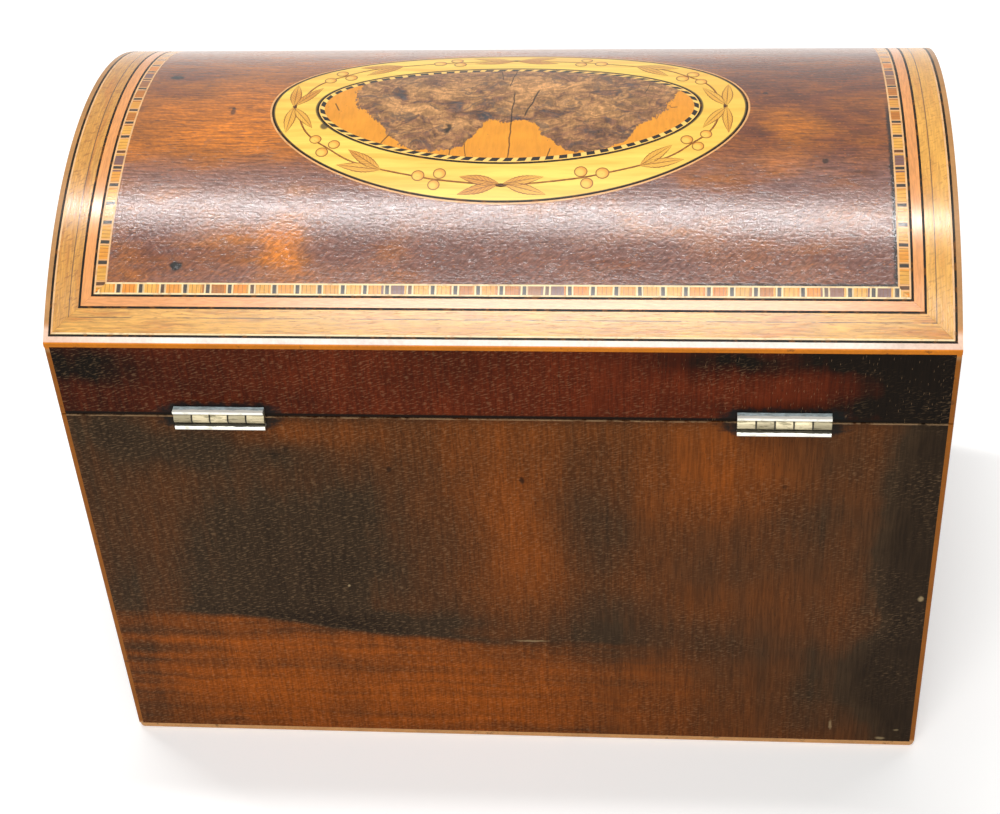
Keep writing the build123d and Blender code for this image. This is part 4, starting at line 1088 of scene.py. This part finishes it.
def ink_finish(woods):
    """Brown pen line, thinner ink here and there."""
    f = Finish("garland_ink")
    tone = f.noise((1.4, 1.4, 1.4), 4.0, 0.7, seed=3.0)
    body = f.blend(f.rise(tone, 0.42, 0.66) * 0.6, linear(woods.ink), linear(woods.scorch, 0.8))
    knot = f.math("MAXIMUM", f.rise(abs(f.x), 1.6, 0.8), f.rise(abs(f.y), 1.6, 0.8))
    body = f.lay(body, knot * 0.9, woods.umber, 0.5)
    return f.done(body, 0.36, shine=0.35)


def ring_point(angle, across=0.0):
    """A place on the ring's middle line at an angle in degrees, moved outwards by so many millimetres."""
    half_x = (RING_HIGH.x + RING_INNER_X) / 2 + across
    half_y = (RING_HIGH.y + RING_INNER_Y) / 2 + across
    turn = math.radians(angle)
    return half_x * math.cos(turn), half_y * math.sin(turn)


# The garland of one quarter, as degrees round the ring from the oval's end and millimetres outwards
CROSSING_FOOT = (0.5, 0.5)
CROSSING_TIPS = ((20.0, 3.9), (21.5, -1.6))
LOW_FOOT = (89.5, 0.5)
LOW_TIPS = ((78.6, -0.8), (79.4, 3.6))
BERRY_PLACES = ((28.6, 0.2), (35.6, -1.3), (36.4, 2.1), (67.2, 0.4), (72.6, -0.9), (72.4, 2.1))
PAIR_FOOT = (56.4, 0.8)
PAIR_TIPS = ((41.6, -1.6), (44.4, 3.4))
STEM_KNOTS = (
    (0.0, 0.3), (2.2, 0.2), (10.0, -0.6), (20.0, 0.2), (28.6, 0.6), (35.0, 0.4), (46.0, 1.4),
    (56.4, 0.8), (67.2, 0.5), (72.4, 0.6), (81.0, 0.6), (88.4, 0.9), (90.0, 0.9),
)
# Degrees by which the garland of each quarter has slipped
QUARTER_SLIPS = (0.6, -4.0, -1.5, 1.5)
# How many times wider a stem is at its knots, and thicker than the leaves that it crosses
KNOT_SWELL = 2.4
STEM_RISE = 1.2
# A leaf's teeth, and the shares of its width that they are deep and that is left at its tips
LEAF_TEETH = 10
TOOTH_DEPTH = 0.12
LEAF_TIP = 0.03


class CADDY_OT_dress_case(bpy.types.Operator):
    """Finish the veneers, stringing and boards of the case and of the lid's sides"""

    bl_idname = "caddy.dress_case"
    bl_label = "Finish the case"

    def execute(self, context):
        woods = context.scene.caddy_woods
        dress(mahogany_face("back_mahogany", woods, "x", back=True), "case_back_veneer", "lid_back_veneer")
        dress(mahogany_face("front_mahogany", woods, "x"), "case_front_veneer", "lid_front_veneer")
        dress(
            mahogany_face("end_mahogany", woods, "y"),
            "case_left_end_veneer", "case_right_end_veneer", "lid_left_end_veneer", "lid_right_end_veneer",
        )
        dress(
            boxwood(woods),
            "case_corner_strings", "case_base_string", "dome_edge_strings", "lid_corner_strings",
        )
        dress(
            board_wood("carcass_long", "x", woods.carcass),
            "case_back", "case_front", "case_bottom", "lid_back_rail", "lid_front_rail", "lid_staves",
        )
        dress(
            board_wood("carcass_end", "y", woods.carcass),
            "case_left_end", "case_right_end", "lid_left_end", "lid_right_end",
        )
        dress(board_wood("lining_wood", "y", woods.interior), "left_lining", "right_lining", "partition")
        dress(
            board_wood("inner_lid_wood", "y", woods.interior),
            "left_inner_lid", "right_inner_lid", "left_inner_lid_knob", "right_inner_lid_knob",
        )
        return {"FINISHED"}


class CADDY_OT_dress_dome(bpy.types.Operator):
    """Finish the marquetry of the dome"""

    bl_idname = "caddy.dress_dome"
    bl_label = "Finish the dome"

    def execute(self, context):
        woods = context.scene.caddy_woods
        inlay = context.scene.caddy_inlay
        dress(satinwood("satinwood_outer", woods, 3.0, False), "dome_wide_band_outer")
        dress(satinwood("satinwood_inner", woods, 23.0, True), "dome_wide_band_inner")
        dress(plain_banding(woods), "dome_plain_band")
        dress(ladder_banding(woods, inlay.ladder_pitch * MM), "dome_ladder_band")
        dress(
            line_wood("black_lines", woods, woods.ebony, woods.ebony, 0.0, 0.1),
            "dome_black_lines", "oval_black_lines",
        )
        dress(line_wood("light_lines", woods, woods.holly, woods.toned, 0.8, 0.5), "dome_light_lines")
        dress(line_wood("toned_line", woods, woods.toned, woods.toned, 0.0, 0.4), "oval_light_line")
        dress(dome_mahogany(woods), "dome_field")
        dress(ring_satinwood(woods), "oval_garland_ring")
        dress(rope_string(woods, inlay.rope_pitch * MM), "oval_rope_string")
        dress(burr_panel(woods), "oval_burr_panel")
        return {"FINISHED"}


class CADDY_OT_dress_metal(bpy.types.Operator):
    """Finish the hinges, screws and lock"""

    bl_idname = "caddy.dress_metal"
    bl_label = "Finish the metal"

    def execute(self, context):
        metal = context.scene.caddy_metal
        dress(
            brass_finish(metal),
            "left_hinge_case_leaf", "left_hinge_lid_leaf", "right_hinge_case_leaf", "right_hinge_lid_leaf",
            "hinge_pins",
        )
        dress(
            plain_metal("lock_brass", metal.brass, 0.3),
            "lock_plate", "lock_cap", "link_plate", "escutcheon",
            "hinge_case_screws", "hinge_lid_screws", "lock_screws", "link_plate_screws",
        )
        dress(plain_metal("lock_steel", metal.steel, 0.35), "lock_bolt", "lock_key_pin", "lock_spring")
        return {"FINISHED"}


class CADDY_OT_draw_garland(bpy.types.Operator):
    """Lay the leaves, berries and stems of the garland on the oval ring"""

    bl_idname = "caddy.draw_garland"
    bl_label = "Draw the garland"

    def execute(self, context):
        woods = context.scene.caddy_woods
        inlay = context.scene.caddy_inlay
        hand = random.Random(inlay.hand)
        thickness = inlay.lift
        leaf, berry = model_leaf(inlay, thickness), model_berry(inlay, thickness)
        leaves, berries, stems = [], [], []

        def place_at(quarter, angle, across, slip=0.0):
            """A place on the ring, with the angle counted from the oval's nearer end."""
            shown = angle + slip if quarter % 2 == 0 else 90.0 - angle - slip
            return ring_point(90.0 * quarter + shown, across)

        def put_leaf(foot, tip, width=1.0):
            """One leaf with its foot and its tip at two places."""
            run = math.dist(foot, tip)
            heading = math.atan2(tip[1] - foot[1], tip[0] - foot[0])
            place = Matrix.Translation((foot[0] / MM, foot[1] / MM, 0.0)) @ Matrix.Rotation(heading, 4, "Z")
            length = run / (inlay.leaf_length * MM)
            leaves.append(copy_piece(leaf, place @ Matrix.Diagonal((length, width, 1.0, 1.0))))

        for quarter, slip in enumerate(QUARTER_SLIPS):
            for angle, across in BERRY_PLACES:
                x, y = place_at(quarter, angle, across + hand.uniform(-0.2, 0.2), slip)
                size = hand.uniform(0.9, 1.06)
                place = Matrix.Translation((x / MM, y / MM, 0.0)) @ Matrix.Diagonal((size, size, 1.0, 1.0))
                berries.append(copy_piece(berry, place))
            knots = [
                place_at(quarter, angle, across, slip * math.sin(2 * math.radians(angle)))
                for angle, across in STEM_KNOTS
            ]
            stems.append(model_stem(knots, inlay.stem_width, thickness * STEM_RISE))
            for foot, tips in ((CROSSING_FOOT, CROSSING_TIPS), (LOW_FOOT, LOW_TIPS)):
                for angle, across in tips:
                    tip = place_at(quarter, angle + hand.uniform(-0.8, 0.8), across)
                    put_leaf(place_at(quarter, *foot), tip, hand.uniform(0.86, 1.0))
            for angle, across in PAIR_TIPS:
                put_leaf(place_at(quarter, *PAIR_FOOT, slip), place_at(quarter, angle, across, slip))
        for master in (leaf, berry):
            bpy.data.objects.remove(master)
        for group, name, material in (
            (leaves, "garland_leaves", penwork_leaf(woods)),
            (berries, "garland_berries", penwork_berry(woods)),
            (stems, "garland_stems", ink_finish(woods)),
        ):
            piece = join_pieces(group)
            lay_on_dome(piece, inlay.lift)
            settle(piece, name, "lid", material)
        return {"FINISHED"}


# Side of the floor in metres, and its glow near the middle, which grows in two steps.
# Each step has the two distances in millimetres between which it comes in, and its strength.
FLOOR_SIDE = 6.0
NEAR_GLOW = 0.3
FLOOR_GLOW = ((180.0, 520.0, 0.4), (500.0, 1500.0, 0.3))
# Each lamp's place, the place it points at and its size, in metres, and its turn in degrees
LAMPS = {
    "top": ((0.085, -0.125, 1.04), (0.085, 0.03, 0.12), (0.72, 0.03), -8.0),
    "back": ((0.045, 0.47, 1.1), (0.045, 0.05, 0.12), (0.42, 0.26), 0.0),
    "edge": ((0.1, 0.89, 1.1), (0.0, 0.05, 0.12), (0.6, 0.07), 0.0),
    "low": ((-0.1, 1.3, 0.6), (0.0, 0.05, 0.06), (0.9, 0.6), 0.0),
}


class CADDY_OT_set_stage(bpy.types.Operator):
    """Set the floor, the soft lamps and the camera"""

    bl_idname = "caddy.set_stage"
    bl_label = "Set the stage"

    def execute(self, context):
        stage = context.scene.caddy_stage
        start_piece()
        bpy.ops.mesh.primitive_plane_add(size=FLOOR_SIDE)
        floor = context.active_object
        floor.name = "pale_floor"
        dress(self.floor_finish(stage), "pale_floor")
        self.set_world(context, stage)
        for name, lamp in LAMPS.items():
            self.add_lamp(name + "_lamp", getattr(stage, name + "_power"), *lamp)
        self.add_camera(context, stage)
        context.scene.view_settings.view_transform = "Standard"
        return {"FINISHED"}

    def floor_finish(self, stage):
        """Pale floor that glows a little for the camera and for glossy faces, more so further out."""
        f = Finish("pale_floor")
        path = f.add("ShaderNodeLightPath")
        rays = (Signal(f, path.outputs[ray]) for ray in ("Is Camera Ray", "Is Glossy Ray"))
        seen = f.math("MAXIMUM", *rays)
        away = f.length(f.vector(f.x, f.y, 0.0))
        glow = NEAR_GLOW
        for start, end, share in FLOOR_GLOW:
            glow = f.rise(away, start, end) * share + glow
        f.feed(f.shader.inputs["Emission Color"], (1.0, 1.0, 1.0, 1.0))
        f.feed(f.shader.inputs["Emission Strength"], seen * glow)
        return f.done(linear(stage.floor), 0.9, shine=0.1)

    def set_world(self, context, stage):
        """Even light from all round, seen as white by the camera and by glossy faces."""
        world = bpy.data.worlds.new("studio")
        context.scene.world = world
        world.use_nodes = True
        tree = world.node_tree
        path = tree.nodes.new("ShaderNodeLightPath")
        seen = path.outputs["Is Camera Ray"]
        for ray in ("Is Glossy Ray", "Is Transmission Ray"):
            either = tree.nodes.new("ShaderNodeMath")
            either.operation = "MAXIMUM"
            tree.links.new(seen, either.inputs[0])
            tree.links.new(path.outputs[ray], either.inputs[1])
            seen = either.outputs[0]
        strength = tree.nodes.new("ShaderNodeMapRange")
        strength.inputs["To Min"].default_value = stage.fill
        strength.inputs["To Max"].default_value = 1.0
        tree.links.new(seen, strength.inputs["Value"])
        tree.links.new(strength.outputs["Result"], tree.nodes["Background"].inputs["Strength"])
        tree.nodes["Background"].inputs["Color"].default_value = (1.0, 1.0, 1.0, 1.0)

    def add_lamp(self, name, power, place, target, size, turn):
        """A soft rectangular lamp that points at a target, turned about its beam by degrees."""
        start_piece()
        bpy.ops.object.light_add(type="AREA", location=place)
        lamp = bpy.context.active_object
        lamp.name = name
        lamp.data.shape = "RECTANGLE"
        lamp.data.size, lamp.data.size_y = size
        lamp.data.energy = power
        aim = Vector(target) - Vector(place)
        lamp.rotation_euler = aim.to_track_quat("-Z", "Y").to_euler()
        lamp.rotation_euler.rotate_axis("Z", math.radians(turn))

    def add_camera(self, context, stage):
        """The camera at the photograph's place, angle and lens."""
        start_piece()
        bpy.ops.object.camera_add(location=stage.camera_place)
        camera = context.active_object
        turn = Matrix.Rotation(stage.camera_turn, 3, "Z")
        pitch = Matrix.Rotation(math.pi / 2 - stage.camera_pitch, 3, "X")
        roll = Matrix.Rotation(stage.camera_roll, 3, "Z")
        camera.rotation_euler = (turn @ pitch @ roll).to_euler()
        camera.data.sensor_width = SENSOR_WIDTH
        camera.data.lens = stage.lens
        context.scene.camera = camera


class CADDY_PT_panel(bpy.types.Panel):
    """Sidebar panel that lists the caddy's steps"""

    bl_idname = "CADDY_PT_panel"
    bl_label = "Tea caddy"
    bl_space_type = "VIEW_3D"
    bl_region_type = "UI"
    bl_category = "Caddy"

    def draw(self, context):
        for step in STEPS:
            self.layout.operator(step.bl_idname)


STEPS = (
    CADDY_OT_dress_case,
    CADDY_OT_dress_dome,
    CADDY_OT_dress_metal,
    CADDY_OT_draw_garland,
    CADDY_OT_set_stage,
)
GROUPS = {
    "caddy_woods": CADDY_PG_woods,
    "caddy_inlay": CADDY_PG_inlay,
    "caddy_metal": CADDY_PG_metal,
    "caddy_stage": CADDY_PG_stage,
}


def register():
    for cls in (*GROUPS.values(), *STEPS, CADDY_PT_panel):
        bpy.utils.register_class(cls)
    for name, group in GROUPS.items():
        setattr(bpy.types.Scene, name, PointerProperty(type=group))


def unregister():
    for name in GROUPS:
        delattr(bpy.types.Scene, name)
    for cls in (CADDY_PT_panel, *STEPS, *GROUPS.values()):
        bpy.utils.unregister_class(cls)


def main():
    """Runs every step in order."""
    register()
    bpy.ops.caddy.dress_case()
    bpy.ops.caddy.dress_dome()
    bpy.ops.caddy.dress_metal()
    bpy.ops.caddy.draw_garland()
    bpy.ops.caddy.set_stage()


if __name__ == "__main__":
    main()
